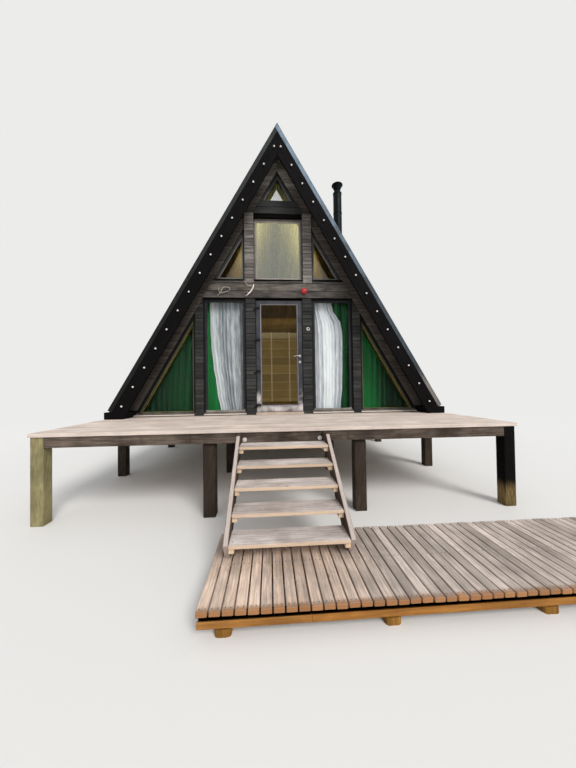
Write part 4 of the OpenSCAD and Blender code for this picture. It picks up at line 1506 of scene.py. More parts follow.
@dataclass
class Walls:
    """End walls with their level boards, the beam, the collar and the sills."""

    pitch: float = 0.1426
    first: float = -0.0126
    upper_pitch: float = 0.14
    upper_first: float = 2.674
    groove: float = 0.008
    false_groove: float = 0.003
    depth: float = 0.022
    chamfer: float = 0.003
    beam_levels: tuple[float, ...] = (2.235, 2.368, 2.51)
    collar_levels: tuple[float, ...] = (3.868, 3.998, 4.12)
    proud: float = 0.03
    pier_thick: float = 0.012
    pier_foot: float = 2.514

    def build(self) -> None:
        """Builds and dresses the walls."""
        lower = self.courses(self.first, self.pitch, 2.3)
        upper = self.courses(self.upper_first - 14 * self.upper_pitch, self.upper_pitch, 5.3)
        self.clad("front_lower_posts", lower, CLADDING)
        self.clad("end_rafters", upper, RAKE)
        self.clad("back_wall_lower", lower, CLADDING)
        self.clad("back_wall_upper", upper, CLADDING)
        self.clad("mid_beams", [(z, False) for z in self.beam_levels], BEAM)
        # Under the lowest collar joint the dark core shows bare, as painted shade under the collar.
        self.clad("front_collar", [(z, False) for z in self.collar_levels], CLADDING, self.collar_levels[0])
        self.face_piers(upper)
        self.run_ledges()
        self.seat_sills()

    def courses(self, first: float, pitch: float, top: float) -> list[tuple[float, bool]]:
        """Heights where the boards end, each with whether only a false groove is cut there."""
        steps = range(int((top - first) / pitch) + 2)
        whole = [(first + k * pitch, False) for k in steps]
        halves = [(first + (k + 0.5) * pitch, True) for k in steps]
        return sorted(whole + halves)

    def boards(self, shape: Shape, outline: Outline, levels: Levels, near: float, far: float) -> None:
        """Lays level boards over an outline, one between each two grooves."""
        low, high = min(z for _, z in outline), max(z for _, z in outline)
        inner = [(z, false) for z, false in levels if low + 0.02 < z < high - 0.02]
        stops = [(low, None), *inner, (high, None)]
        gaps = {None: 0.0, False: self.groove, True: self.false_groove}
        for (z0, under), (z1, over) in zip(stops, stops[1:]):
            board = clip(outline, z0 + gaps[under] / 2, z1 - gaps[over] / 2)
            if len(board) > 2:
                shape.upright(board, near, far, self.chamfer)

    def clad(self, node: str, levels: Levels, finish: Timber, bare_below: float = -1.0) -> None:
        """Covers each solid of a node with level boards over a dark core.

        Args:
            node: the CAD node.
            levels: heights of the grooves, in order.
            finish: finish of the boards.
            bare_below: height under which the core has no boards.
        """
        shape, core = Shape(), Shape()
        for part in solids(node):
            outline, near, far = outline_of(part)
            if (near + far) / 2 > LENGTH / 2:
                near, far = far, near
            into = math.copysign(1.0, far - near)
            core.upright(outline, near + into * self.depth, far)
            covered = clip(outline, bare_below, APEX)
            self.boards(shape, covered, levels, near, near + into * (self.depth + 0.001))
        settle(f"{node}_boards", shape, finish, [node], ACROSS)
        settle(f"{node}_core", core, SHADOW_STAIN, along=ACROSS)

    def face_piers(self, levels: Levels) -> None:
        """Faces the upper piers with thin boards that lap over the beam and up beside the collar's recess."""
        shape, core = Shape(), Shape()
        top, collar_foot = self.collar_levels[0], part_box("front_collar")[0].z - DECK_Z
        near = OVERHANG - self.proud - self.pier_thick
        for part in solids("front_upper_posts"):
            outline, _, far = outline_of(part)
            x0, x1 = width_of(outline)
            core.upright(outline, OVERHANG - self.proud + LAYER_GAP, far)
            face = panel(x0, x1, self.pier_foot, collar_foot - 0.002)
            self.boards(shape, face, levels, near, near + self.pier_thick)
            head = panel(x0, x1, collar_foot + 0.001, top - 0.003)
            shape.upright(head, near, OVERHANG - self.proud + self.depth - LAYER_GAP, self.chamfer)
        settle("upper_pier_boards", shape, SUNLIT_CLADDING, ["front_upper_posts"], ACROSS)
        settle("upper_pier_cores", core, SHADOW_STAIN, along=ACROSS)

    def run_ledges(self) -> None:
        """Runs the moulded ledge along the top of the beams, under the upper windows."""
        shape = Shape()
        base, lean = self.beam_levels[-1], 1 / math.tan(SLOPE)
        for part in solids("mid_beams"):
            outline, near, far = outline_of(part)
            back = (near + far) / 2 > LENGTH / 2
            face, way = (far, -1.0) if back else (near, 1.0)
            top = max(z for _, z in outline)
            x0, x1 = width_of(clip(outline, base, top))
            high = top - base
            section = [
                (self.depth, 0.0), (-0.003, 0.0), (-0.006, 0.004), (-0.006, 0.4 * high),
                (-0.003, 0.44 * high), (0.003, 0.46 * high), (0.003, 0.54 * high), (0.0, 0.56 * high),
                (0.0, high - 0.004), (0.003, high), (self.depth, high),
            ]
            shape.loft([
                [house(foot - side * rise * lean, face + way * y, base + rise) for y, rise in section]
                for side, foot in ((-1, x0), (1, x1))
            ])
        settle("beam_ledges", shape, BEAM, along=ACROSS)

    def seat_sills(self) -> None:
        """Seats the sill timbers and the folded metal over them."""
        base, metal = Shape(), Shape()
        section = [
            (0.05, 0.0), (-0.008, -0.003), (-0.012, -0.005), (-0.012, -0.015), (-0.010, -0.015),
            (-0.0095, -0.0085), (-0.006, -0.0068), (0.05, -0.002),
        ]
        for part in solids("window_sills"):
            outline, near, far = outline_of(part)
            x0, x1 = width_of(outline)
            top = max(z for _, z in outline)
            base.upright([(x, z if z < top - 0.001 else top - 0.004) for x, z in outline], near, far, 0.002)
            ends = (x0 + 0.002, x1 - (0.002 if abs(x1) < 1.5 and abs(x0) < 1.5 else 0.03))
            metal.loft([[house(x, near + y, top + z) for y, z in section] for x in ends])
        # The sill timber showing under the metal lip is dark as painted shade.
        settle("sill_timbers", base, SILL_WOOD, ["window_sills"], ACROSS)
        settle("sill_metals", metal, SILL_METAL)


@dataclass
class Windows:
    """Frames and panes of the fixed windows.

    Each bead has its liner and three sizes: where it starts and ends across the frame, and how deep it lies.
    """

    wide: float = 0.06
    deep: float = 0.076
    gable_z: float = 3.9
    beads: ClassVar[dict[Metal, tuple[Metal, float, float, float]]] = {
        BEAD_DARK: (LINER, 0.032, 0.068, 0.004), BEAD_OLIVE: (LINER, 0.046, 0.06, 0.012),
        BEAD_PALE: (LINER_PALE, 0.03, 0.06, 0.012), BEAD_GREY: (LINER_GREY, 0.037, 0.06, 0.015),
    }

    def build(self) -> None:
        """Builds and dresses the windows."""
        panes: dict[Pane, Shape] = {}
        for node in ("lower_window", "upper_window"):
            shapes: dict[Metal, Shape] = {}
            for part in solids(f"{node}_glass"):
                outline, near, far = outline_of(part)
                outer = inset(outline, -self.wide - LAYER_GAP)
                back = (near + far) / 2 > LENGTH / 2
                face = (near + far) / 2 + (1 if back else -1) * self.deep / 2
                square = len(outline) > 3
                if node == "lower_window":
                    bead = BEAD_DARK if square else BEAD_OLIVE
                else:
                    bead = BEAD_PALE if square else BEAD_GREY
                    gable = min(z for _, z in outline) > self.gable_z
                    glass = GLASS_GABLE if gable else GLASS_UPPER if square else GLASS_SIDE
                    panes.setdefault(glass, Shape()).upright(outline, near, far)
                liner, edge, lap, front = self.beads[bead]
                sections = ((liner, self.liner_section(edge)), (bead, self.bead_section(edge, lap, front)))
                for finish, section in sections:
                    self.ring(shapes.setdefault(finish, Shape()), outer, section, face, back)
            for finish, shape in shapes.items():
                name = f"{node}_{finish.name.removeprefix('window_')}"
                settle(name, shape, finish, [f"{node}_frames"])
        dress("lower_window_glass", GLASS)
        for finish, shape in panes.items():
            settle(f"upper_{finish.name}", shape, finish, ["upper_window_glass"])

    def liner_section(self, edge: float) -> Outline:
        """Section of the outer frame, as (distance inwards, depth); the lower windows' dark liner is painted
        shade.
        """
        return [
            (0.0, self.deep), (0.0, 0.003), (0.003, 0.0), (edge - 0.003, 0.0), (edge, 0.003),
            (edge, self.deep),
        ]

    def bead_section(self, edge: float, lap: float, front: float) -> Outline:
        """Section of the flat bead that holds the pane, whose front may lap over the pane."""
        u, w = edge + 0.0004, self.wide
        return [
            (u, 0.074), (u, front + 0.002), (u + 0.002, front), (lap - 0.004, front),
            (lap - 0.001, front + 0.004), (lap, 0.0245),
            (w, 0.0255), (w, 0.050), (w - 0.006, 0.064), (w - 0.008, 0.074),
        ]

    def ring(self, shape: Shape, outer: Outline, section: Points, face: float, back: bool) -> None:
        """Runs a section round a window, mitred at its corners."""
        way = -1 if back else 1
        rings = [
            [house(x, face + way * v, z) for x, z in inset(outer, u + (LAYER_GAP if u == 0 else 0))]
            for u, v in section
        ]
        shape.loft(rings, closed=True)


@dataclass
class Door:
    """Glass door with its frame, leaf, threshold, hinges and handles."""

    stile: float = 0.103
    top_rail: float = 0.08
    bottom_rail: float = 0.122
    deep: float = 0.064
    lever_z: float = 1.118
    lock_drop: float = 0.116
    lever_long: float = 0.118

    def build(self) -> None:
        """Builds and dresses the door."""
        # The frame is dark as painted shade: it shows a shadow line round the leaf.
        carve("door_frame", LINER, 0.003)
        carve("door_threshold", THRESHOLD, 0.004)
        carve("door_hinge_leaves", HINGE_STEEL, 0.0015, Body.DOOR)
        carve("hinge_brackets", HINGE_STEEL, 0.0015)
        dress("door_glass", GLASS)
        self.make_leaf()
        self.fit_handles()

    def make_leaf(self) -> None:
        """Makes the leaf of four mitred bars with a bead round the pane."""
        low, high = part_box("door_leaf")
        bars = [
            (0.0, 1.0), (0.0, 0.11), (0.02, 0.09), (0.13, 0.09), (0.16, 0.03), (0.20, 0.0), (0.78, 0.0),
            (0.80, 0.03), (0.80, 1.0),
        ]
        bead = [
            (0.804, 0.98), (0.804, 0.10), (0.83, 0.07), (0.90, 0.10), (0.985, 0.27), (1.0, 0.31), (1.0, 0.69),
            (0.97, 0.80), (0.85, 0.98),
        ]
        # The bead takes the lighter finish as a painted highlight round the pane.
        for name, section, finish, stands_for in (
            ("leaf_bars", bars, DOOR_METAL, ["door_leaf"]), ("leaf_bead", bead, DOOR_BEAD, []),
        ):
            rings = []
            for u, v in section:
                x0, x1 = low.x + self.stile * u, high.x - self.stile * u
                z0, z1 = low.z + self.bottom_rail * u, high.z - self.top_rail * u
                y = low.y + self.deep * v
                rings.append([Vector((x, y, z)) for x, z in ((x0, z0), (x1, z0), (x1, z1), (x0, z1))])
            shape = Shape()
            shape.loft(rings, closed=True)
            settle(name, shape, finish, stands_for, body=Body.DOOR)

    def fit_handles(self) -> None:
        """Fits a lever and a lock rose on both faces of the leaf."""
        low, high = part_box("door_leaf")
        shape = Shape()
        rose = [(0, 0.025), (0.006, 0.025), (0.008, 0.023), (0.008, 0.011), (0.008, 0)]
        lock = [(0.006, 0.0085), (0.013, 0.0085), (0.014, 0.0075), (0.014, 0)]
        radii = [0.009, 0.009, 0.009, 0.0088, 0.0084, 0.008, 0.0076]
        x = high.x - self.stile / 2
        for y, way in ((low.y, -1), (high.y, 1)):
            out = Vector((0, way, 0))
            for drop in (0.0, self.lock_drop):
                centre = Vector((x, y, DECK_Z + self.lever_z - drop))
                shape.lathe(centre, out, rose, 28)
            shape.lathe(centre, out, lock, 20)
            hub = Vector((x, y, DECK_Z + self.lever_z))
            ends = [(0.006, 0.0), (0.034, 0.0), (0.041, 0.003)]
            ends += [(0.044, d) for d in (0.011, 0.04, 0.08, self.lever_long - 0.008)]
            shape.tube([hub + out * far - ACROSS * side for far, side in ends], radii, 14)
        settle("lever_set", shape, STEEL, ["door_handles"], smooth=True, body=Body.DOOR)


@dataclass
class Roof:
    """Ribbed sheets, metal strips, bargeboards and the layers under them."""

    sheet: float = 0.03
    rib: float = 0.022
    pitch: float = 0.2
    eave: float = 0.156
    face: float = 0.067
    lap: float = 0.12
    trim: float = 0.005
    ridge_leg: float = 0.17
    screw_rows: tuple[float, ...] = (0.35, 1.3, 2.3, 3.3, 4.3, 5.3)

    def build(self) -> None:
        """Builds and dresses the roof."""
        carve("bargeboards", BLACK_STAIN, 0.004)
        carve("eave_beams", BLACK_STAIN, 0.005)
        dress("roof_boards", SOFFIT)
        dress("roof_cores", CORE)
        dress("pine_linings", PINE)
        dress("loft_floor", FLOOR)
        carve("ridge_cap", CAP_DARK, 0.001)
        self.lay_sheets()
        self.fold_verges()

    def slope_point(self, side: Side, along: float, depth: float, y: float) -> Vector:
        """Place on a slope at a distance down from the ridge and a depth below the outer face."""
        x = along * math.cos(SLOPE) - depth * math.sin(SLOPE)
        z = APEX - along * math.sin(SLOPE) - depth * math.cos(SLOPE)
        return house(side.value * x, y, z)

    def lay_sheets(self) -> None:
        """Lays the ribbed sheets on both slopes, with their screws."""
        foot = (APEX - self.eave) / math.sin(SLOPE)
        top, pan = 0.0006, self.rib
        base = self.sheet - 0.0004
        half = self.pitch / 2
        section = [
            (0.0, base), (0.0, top), (0.014, top), (0.034, pan), (half - 0.006, pan), (half, pan - 0.003),
            (half + 0.006, pan), (self.pitch - 0.034, pan), (self.pitch - 0.014, top), (self.pitch, top),
            (self.pitch, base),
        ]
        heads = [d * math.tan(SLOPE) + 0.001 for _, d in section]
        spots = []
        for side in Side:
            unit = Shape()
            unit.loft([
                [self.slope_point(side, along, d, y) for along, (y, d) in zip(ends, section)]
                for ends in (heads, [foot] * len(section))
            ])
            row(
                f"roof_sheets_{side.name.lower()}", unit, round(LENGTH / self.pitch),
                Vector((0, self.pitch, 0)), ROOF_STEEL, stands_for=["roof_sheets"],
            )
            out = Vector((side.value * math.sin(SLOPE), 0, math.cos(SLOPE)))
            for i in range(1, round(LENGTH / self.pitch)):
                for along in (*self.screw_rows, foot - 0.12):
                    spots.append((self.slope_point(side, along, top, i * self.pitch), out))
        spots = [(p, a) for p, a in spots if not self.near_flue(p)]
        studs("sheet_screws", spots, WASHER_SCREW, SCREW_STEEL, sides=6)

    def near_flue(self, place: Vector) -> bool:
        """Whether a place lies under the flange of the flue."""
        low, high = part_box("flue_flashing")
        return low.x - 0.02 < place.x < high.x + 0.02 and low.y - 0.02 < place.y < high.y + 0.02

    def fold_verges(self) -> None:
        """Folds the metal strips over the ends of both slopes."""
        foot = (APEX - self.eave) / math.sin(SLOPE)
        start = self.ridge_leg + 0.01
        t, f = self.trim, self.face
        face = [
            (0.0, 0.0), (0.0, -t + 0.002), (0.002, -t), (0.014, -t), (0.016, -t + 0.002),
            (f - 0.018, -t + 0.002), (f - 0.015, -t), (f - 0.003, -t), (f, -t + 0.002), (f, 0.0),
        ]
        for side, finish in ((Side.LEFT, TRIM_SHADED), (Side.RIGHT, TRIM_LIT)):
            shape = Shape()
            for y0, way in ((0.0, 1.0), (LENGTH, -1.0)):
                heads = [self.strip_head(side, d) for d, _ in face]
                shape.loft([
                    [self.slope_point(side, along, d, y0 + way * y) for along, (d, y) in zip(ends, face)]
                    for ends in (heads, [foot] * len(face))
                ])
                lap = [
                    (-LAYER_GAP, self.lap - t), (-t - LAYER_GAP, self.lap - t - 0.001),
                    (-t - LAYER_GAP, -t + 0.003), (-t + 0.0015, -t), (-LAYER_GAP, -t),
                ]
                shape.loft([
                    [self.slope_point(side, along, d, y0 + way * y) for d, y in lap]
                    for along in (start, foot)
                ])
            name = f"verge_strips_{side.name.lower()}"
            settle(name, shape, finish, ["verge_flashings"])

    def strip_head(self, side: Side, depth: float) -> float:
        """Distance from the ridge where a strip starts: the right one laps over the head of the left one."""
        if side is Side.RIGHT:
            return depth * 0.5 / math.sin(SLOPE) + 0.0006
        return (self.face + 0.001 + 0.5 * depth) / math.sin(SLOPE)


@dataclass
class Flue:
    """Round black flue with collars, a rain cap and a flange on the roof."""

    x: float = 1.545
    y: float = 1.8
    radius: float = 0.102
    collar_z: float = 4.822
    top: float = 5.338
    neck: float = 0.072
    cap: float = 0.136
    summit: float = 5.5955
    bolts: tuple[float, float] = (0.21, 0.07)
    plate: float = 0.0052

    def build(self) -> None:
        """Builds and dresses the flue."""
        pipe = eased("flue_pipe", 0.0015, 2)
        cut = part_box("flue_pipe")[1].z - DECK_Z - self.top
        for v in pipe.vertices:
            if v.co.z - DECK_Z > self.top:
                v.co.z -= cut
        settle("flue_tube", pipe, FLUE_STEEL, ["flue_pipe"], smooth=True)
        carve("flue_flashing", FLUE_STEEL, 0.0012)
        r = self.radius
        rise = self.summit - self.top
        cowl = Shape()
        cowl.lathe(house(self.x, self.y, self.top), UP, [
            (0.0006, 0.0), (0.0006, self.neck), (0.052, self.neck), (0.056, self.neck + 0.003),
            (0.6 * rise, 0.108), (0.7 * rise, self.cap - 0.006), (0.71 * rise, self.cap),
            (0.76 * rise, self.cap), (0.78 * rise, self.cap - 0.004), (0.88 * rise, 0.098),
            (0.96 * rise, 0.05), (0.99 * rise, 0.018), (rise, 0.0),
        ], 40)
        settle("rain_cap", cowl, FLUE_STEEL, ["flue_cap"], smooth=True)
        rings = Shape()
        for z in (self.collar_z, self.collar_z - 0.96, self.top - 0.026):
            rings.lathe(house(self.x, self.y, z), UP, [
                (-0.022, r - 0.001), (-0.022, r + 0.003), (-0.018, r + 0.005), (-0.004, r + 0.005),
                (-0.002, r + 0.003), (0.002, r + 0.003), (0.004, r + 0.005), (0.018, r + 0.005),
                (0.022, r + 0.003), (0.022, r - 0.001),
            ], 40)
        settle("flue_collars", rings, FLUE_STEEL, smooth=True)
        out = Vector((math.sin(SLOPE), 0, math.cos(SLOPE)))
        spots = []
        far, near = self.bolts
        for u in (-far, -near, near, far):
            for v in (-far, far):
                for s, t in ((u, v), (v, u)):
                    x = self.x + s * math.cos(SLOPE)
                    spots.append((house(x, self.y + t, rise_at(-LAYER_GAP, x)) + out * self.plate, out))
        studs("flange_screws", spots, BOLT, SCREW_STEEL, sides=6)


@dataclass
class Inside:
    """What the windows show: the boards of the back wall and the curtain track."""

    pitch: float = 0.31
    first: float = 0.119
    foot: float = 0.01
    top: float = 2.585
    thick: float = 0.01
    battens: tuple[float, float] = (-0.114, 0.553)
    batten_wide: float = 0.045
    batten_deep: float = 0.018

    def build(self) -> None:
        """Builds and dresses what shows inside."""
        y = LENGTH - OVERHANG - WALL - 0.02
        reach = LINING_DEPTH + LAYER_GAP
        feet = [
            (side * run_at(reach, z), z) for side,
            z in ((-1, self.foot), (1, self.foot), (1, self.top), (-1, self.top))
        ]
        boards, strips, trims = Shape(), Shape(), Shape()
        levels = [self.foot, *(self.first + k * self.pitch for k in range(8)), self.top]
        for z0, z1 in zip(levels, levels[1:]):
            board = clip(feet, z0 + 0.002, z1 - 0.002)
            boards.upright(board, y - self.thick, y - 0.0002, 0.003)
            if z1 < self.top:
                x, near = run_at(reach, z1) - 0.01, y - self.thick - 0.003
                strips.bar(house(-x, near, z1), house(x, near, z1), UP, 0.012, 0.006, 0.001)
        settle("back_lining_boards", boards, PINE_BOARDS, along=ACROSS)
        for x in self.battens:
            near = y - self.thick - 0.015
            ends = house(x, near, self.foot), house(x, near, self.top)
            strips.bar(*ends, ACROSS, self.batten_wide, self.batten_deep, 0.003)
        settle("back_battens", strips, PINE_PALE)
        # Thin dark trims on the lining beside the corner windows: painted shade, where the lining lies in
        # shadow.
        inner = OVERHANG + WALL + LAYER_GAP
        near, far = reach + LAYER_GAP, reach + 0.006
        section = [(near, inner), (near, inner + 0.05), (far, inner + 0.05), (far, inner)]
        for side in Side:
            trims.loft([
                [house(side.value * run_at(depth, z), y, z) for depth, y in section] for z in (0.03, 2.22)
            ])
        settle("corner_trims", trims, SHADE_TRIM)
        carve("curtain_track", TRACK, 0.003)


@dataclass
class Curtain:
    """One hanging curtain. Its edges are given by height, and its folds take up the spare cloth."""

    name: str
    left: Points
    right: Points
    finish: Cloth
    y: float
    cut_wide: float
    folds: int
    seed: int
    low: float = 0.06
    high: float = 2.235
    depth: float = 0.017
    columns: int = 150
    rows: int = 44
    ridge: float | None = None
    # fade: painted shade that darkens the cloth towards one edge, the outer one on the green curtains.
    fade: float = 0.0

    def edge(self, points: Points, z: float) -> float:
        """Distance from the middle of the cabin of one edge at a height."""
        ordered = sorted(points)
        if z <= ordered[0][0]:
            return ordered[0][1]
        for (z0, x0), (z1, x1) in zip(ordered, ordered[1:]):
            if z <= z1:
                t = (z - z0) / (z1 - z0)
                return x0 + (x1 - x0) * t * t * (3 - 2 * t)
        return ordered[-1][1]

    def wave(self, u: float, v: float) -> float:
        """Depth of the folds from -1 to 1 at a share of the width and of the height."""
        a, b, c, d, e = (random.Random(self.seed + i).random() * math.tau for i in range(5))
        slid = u + 0.045 * math.sin(u * 8.0 + a) + 0.012 * math.sin(v * 3.4 + u * 4.0 + b)
        main = math.sin(math.tau * self.folds * slid + c)
        strong = 0.62 + 0.38 * math.sin(u * 13.0 + 1.7 * v + d)
        small = math.sin(math.tau * self.folds * 2.3 * slid + 2.2 * v + e)
        return 0.78 * strong * main + 0.2 * small * (0.4 + 0.6 * v)

    def shade(self, u: float, v: float) -> float:
        """Painted shade of the cloth: darker in its folds, in broad streaks and towards the edge that fade
        points to.
        """
        broad = math.sin(u * 5.3 + self.seed) + 0.7 * math.sin(u * 12.0 + 0.9 * v + 2.0 * self.seed)
        return 0.5 * self.wave(u, v) + 0.45 * broad + abs(self.fade) * (u if self.fade > 0 else 1 - u)

    def level(self, v: float) -> list[Vector]:
        """Points of the curtain at one height, with folds just deep enough to take up the spare cloth."""
        z = self.low + (self.high - self.low) * v
        x0, x1 = self.edge(self.left, z), self.edge(self.right, z)
        least, most = 0.0, self.depth
        for _ in range(7):
            amount = (least + most) / 2
            line = []
            for i in range(self.columns + 1):
                x = x0 + (x1 - x0) * i / self.columns
                roof = self.high if self.ridge is None else min(self.high, rise_at(self.ridge, x))
                fold = amount * self.wave(i / self.columns, v)
                line.append(house(x, self.y + fold, self.low + (roof - self.low) * v))
            width = sum((b.xy - a.xy).length for a, b in zip(line, line[1:]))
            least, most = (amount, most) if width < self.cut_wide else (least, amount)
        return line

    def build(self) -> bpy.types.Object:
        n = self.columns + 1
        lines = [self.level(j / self.rows) for j in range(self.rows + 1)]
        starts = [j * n + i for j in range(self.rows) for i in range(self.columns)]
        faces = [(a, a + 1, a + n + 1, a + n) for a in starts]
        mesh = bpy.data.meshes.new(self.name)
        mesh.from_pydata([tuple(c) for line in lines for c in line], [], faces)
        layer = mesh.uv_layers.new(name="cut")
        for loop in mesh.loops:
            j, i = divmod(loop.vertex_index, n)
            u, v = i / self.columns, j / self.rows
            layer.data[loop.index].uv = (self.cut_wide * u, (self.high - self.low) * v)
        mesh.polygons.foreach_set("use_smooth", [True] * len(mesh.polygons))
        # The fold attribute carries the painted shade that the cloth's colour reads.
        shades = [self.shade(i / self.columns, j / self.rows) for j in range(self.rows + 1) for i in range(n)]
        mesh.attributes.new("fold", "FLOAT", "POINT").data.foreach_set("value", shades)
        piece = settle(self.name, mesh, self.finish)
        return piece


@dataclass
class Curtains:
    """White nets beside the door and green curtains in the corners."""

    net_y: float = 0.577
    green_y: float = 0.615
    foot: float = 0.06
    net_wide: float = 0.85
    green_wide: float = 1.82
    green_inner_x: float = 1.0

    def build(self) -> None:
        """Builds the four curtains."""
        left = Curtain(
            "white_net_left",
            [
                (0.06, -1.15), (0.457, -1.218), (0.644, -1.24), (0.945, -1.288), (1.357, -1.329),
                (1.714, -1.345), (2.235, -1.35),
            ],
            [(0.06, -0.60), (0.45, -0.60), (2.235, -0.60)], NET_SHADED, self.net_y, self.net_wide, 9, 5,
        ).build()
        right = Curtain(
            "white_net_right", [(0.06, 0.60), (2.235, 0.60)],
            [
                (0.084, 1.221), (0.527, 1.262), (1.0, 1.278), (1.581, 1.284), (1.805, 1.251), (1.927, 1.173),
                (2.043, 1.097), (2.235, 1.06),
            ],
            NET, self.net_y, self.net_wide, 8, 8,
        ).build()
        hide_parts("white_curtains")
        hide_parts("white_curtains")
        reach = LINING_DEPTH + 2 * LAYER_GAP
        end = run_at(reach, self.foot) - 0.01
        for side in Side:
            near, far = side.value * self.green_inner_x, side.value * end
            a, b = (far, near) if side is Side.LEFT else (near, far)
            piece = Curtain(
                f"green_curtain_{side.name.lower()}", [(0.0, a)], [(0.0, b)], GREEN, self.green_y,
                self.green_wide, 12, 20 + side.value, ridge=reach + 0.004, fade=1.1 * side.value,
            ).build()
            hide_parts("green_curtains")


@dataclass
class Ornaments:
    """Bulbs along the bargeboards, the bell, the red fitting and the antlers."""

    bulbs: int = 15
    bulb_step: float = 0.382
    bulb_apex: float = 4.956
    bulb_first: float = 0.116
    bulb_r: float = 0.0165
    bell_at: tuple[float, float] = (0.561, 1.64)
    red_at: tuple[float, float] = (0.49, 2.361)
    beam_face: float = OVERHANG - Walls.proud

    def build(self) -> None:
        """Builds the small things on the front."""
        spots = []
        for side in Side:
            for k in range(self.bulbs):
                along = self.bulb_first + k * self.bulb_step
                x, z = along * math.cos(SLOPE), self.bulb_apex - along * math.sin(SLOPE)
                spots.append((house(side.value * x, 0.0, z), AHEAD))
        r = self.bulb_r
        studs("bulb_sockets", spots, BULB_SOCKET, BLACK_SPOT, sides=14)
        turns = [math.pi * k / 10 for k in range(2, 11)]
        globe = [(0.008, 0.004)] + [(0.026 - math.cos(a) * r * 0.98, math.sin(a) * r) for a in turns]
        studs("bulbs", spots, globe, BULB, sides=18)
        self.hang_bell()
        self.fix_red()
        self.mount_antlers()

    def hang_bell(self) -> None:
        """Fixes the round bell with its dark button on the right inner post."""
        centre = house(self.bell_at[0], OVERHANG, self.bell_at[1])
        bell, dot = Shape(), Shape()
        dome = [(0, 0.034), (0.006, 0.034), (0.012, 0.031), (0.022, 0.022), (0.026, 0.012), (0.027, 0.0)]
        button = [(0.02, 0.017), (0.029, 0.017), (0.032, 0.012), (0.032, 0.0)]
        bell.lathe(centre, AHEAD, dome)
        dot.lathe(centre + Vector((0.002, 0, 0.003)), AHEAD, button, 18)
        settle("bell_dome", bell, BULB, smooth=True)
        settle("bell_button", dot, BLACK_SPOT, smooth=True)

    def fix_red(self) -> None:
        """Fixes the round red fitting, whose rim is notched, on the beam."""
        shape = Shape()
        centre = house(self.red_at[0], self.beam_face, self.red_at[1])
        steps = 48
        profile = [
            (0.0, 0.040), (0.010, 0.046), (0.020, 0.050), (0.030, 0.047), (0.040, 0.036), (0.046, 0.020),
            (0.048, 0.004),
        ]
        rings = []
        for out, r in profile:
            ring = []
            for k in range(steps):
                a = k * math.tau / steps
                reach = r * (1.16 + 0.07 * math.cos(5 * a + 0.4)) if r > 0.03 else r
                ring.append(centre + Vector((math.cos(a) * reach * 1.08, -out, math.sin(a) * reach)))
            rings.append(ring)
        shape.loft(rings)
        settle("red_fitting", shape, RED, smooth=True)

    def mount_antlers(self) -> None:
        """Mounts the pair of antlers on the beam. Each limb is a row of places in X and Z with its radius."""
        main = [[
            (-0.612, 2.262, 0.005), (-0.598, 2.279, 0.010), (-0.556, 2.314, 0.0135), (-0.514, 2.362, 0.0145),
            (-0.489, 2.41, 0.0135), (-0.475, 2.467, 0.009), (-0.473, 2.49, 0.003),
        ]]
        tines = [
            [
                (-0.484, 2.46, 0.008), (-0.525, 2.45, 0.008), (-0.589, 2.459, 0.008), (-0.633, 2.511, 0.007),
                (-0.668, 2.557, 0.003),
            ],
            [(-0.56, 2.31, 0.007), (-0.60, 2.335, 0.006), (-0.592, 2.355, 0.003)],
            [(-0.60, 2.277, 0.008), (-0.625, 2.262, 0.006), (-0.655, 2.242, 0.003)],
            [
                (-1.172, 2.258, 0.003), (-1.144, 2.275, 0.007), (-1.114, 2.3, 0.011), (-1.084, 2.334, 0.011),
                (-1.066, 2.38, 0.010), (-1.043, 2.417, 0.010), (-0.995, 2.421, 0.010), (-0.938, 2.413, 0.013),
                (-0.921, 2.383, 0.012), (-0.944, 2.358, 0.006),
            ],
            [(-1.095, 2.31, 0.007), (-1.063, 2.312, 0.008), (-1.011, 2.327, 0.008), (-0.95, 2.356, 0.007)],
            [(-1.118, 2.30, 0.007), (-1.13, 2.38, 0.006), (-1.125, 2.47, 0.003)],
        ]
        for name, beams, finish in (("antler_pair", main, BONE), ("antler_tines", tines, TINE)):
            shape = Shape()
            for beam in beams:
                swells = [0.005 + 0.034 * math.sin(math.pi * i / (len(beam) - 1)) for i in range(len(beam))]
                path = [house(x, self.beam_face - swell, z) for swell, (x, z, _) in zip(swells, beam)]
                shape.tube(path, [r for _, _, r in beam], 10)
            settle(name, shape, finish, smooth=True)


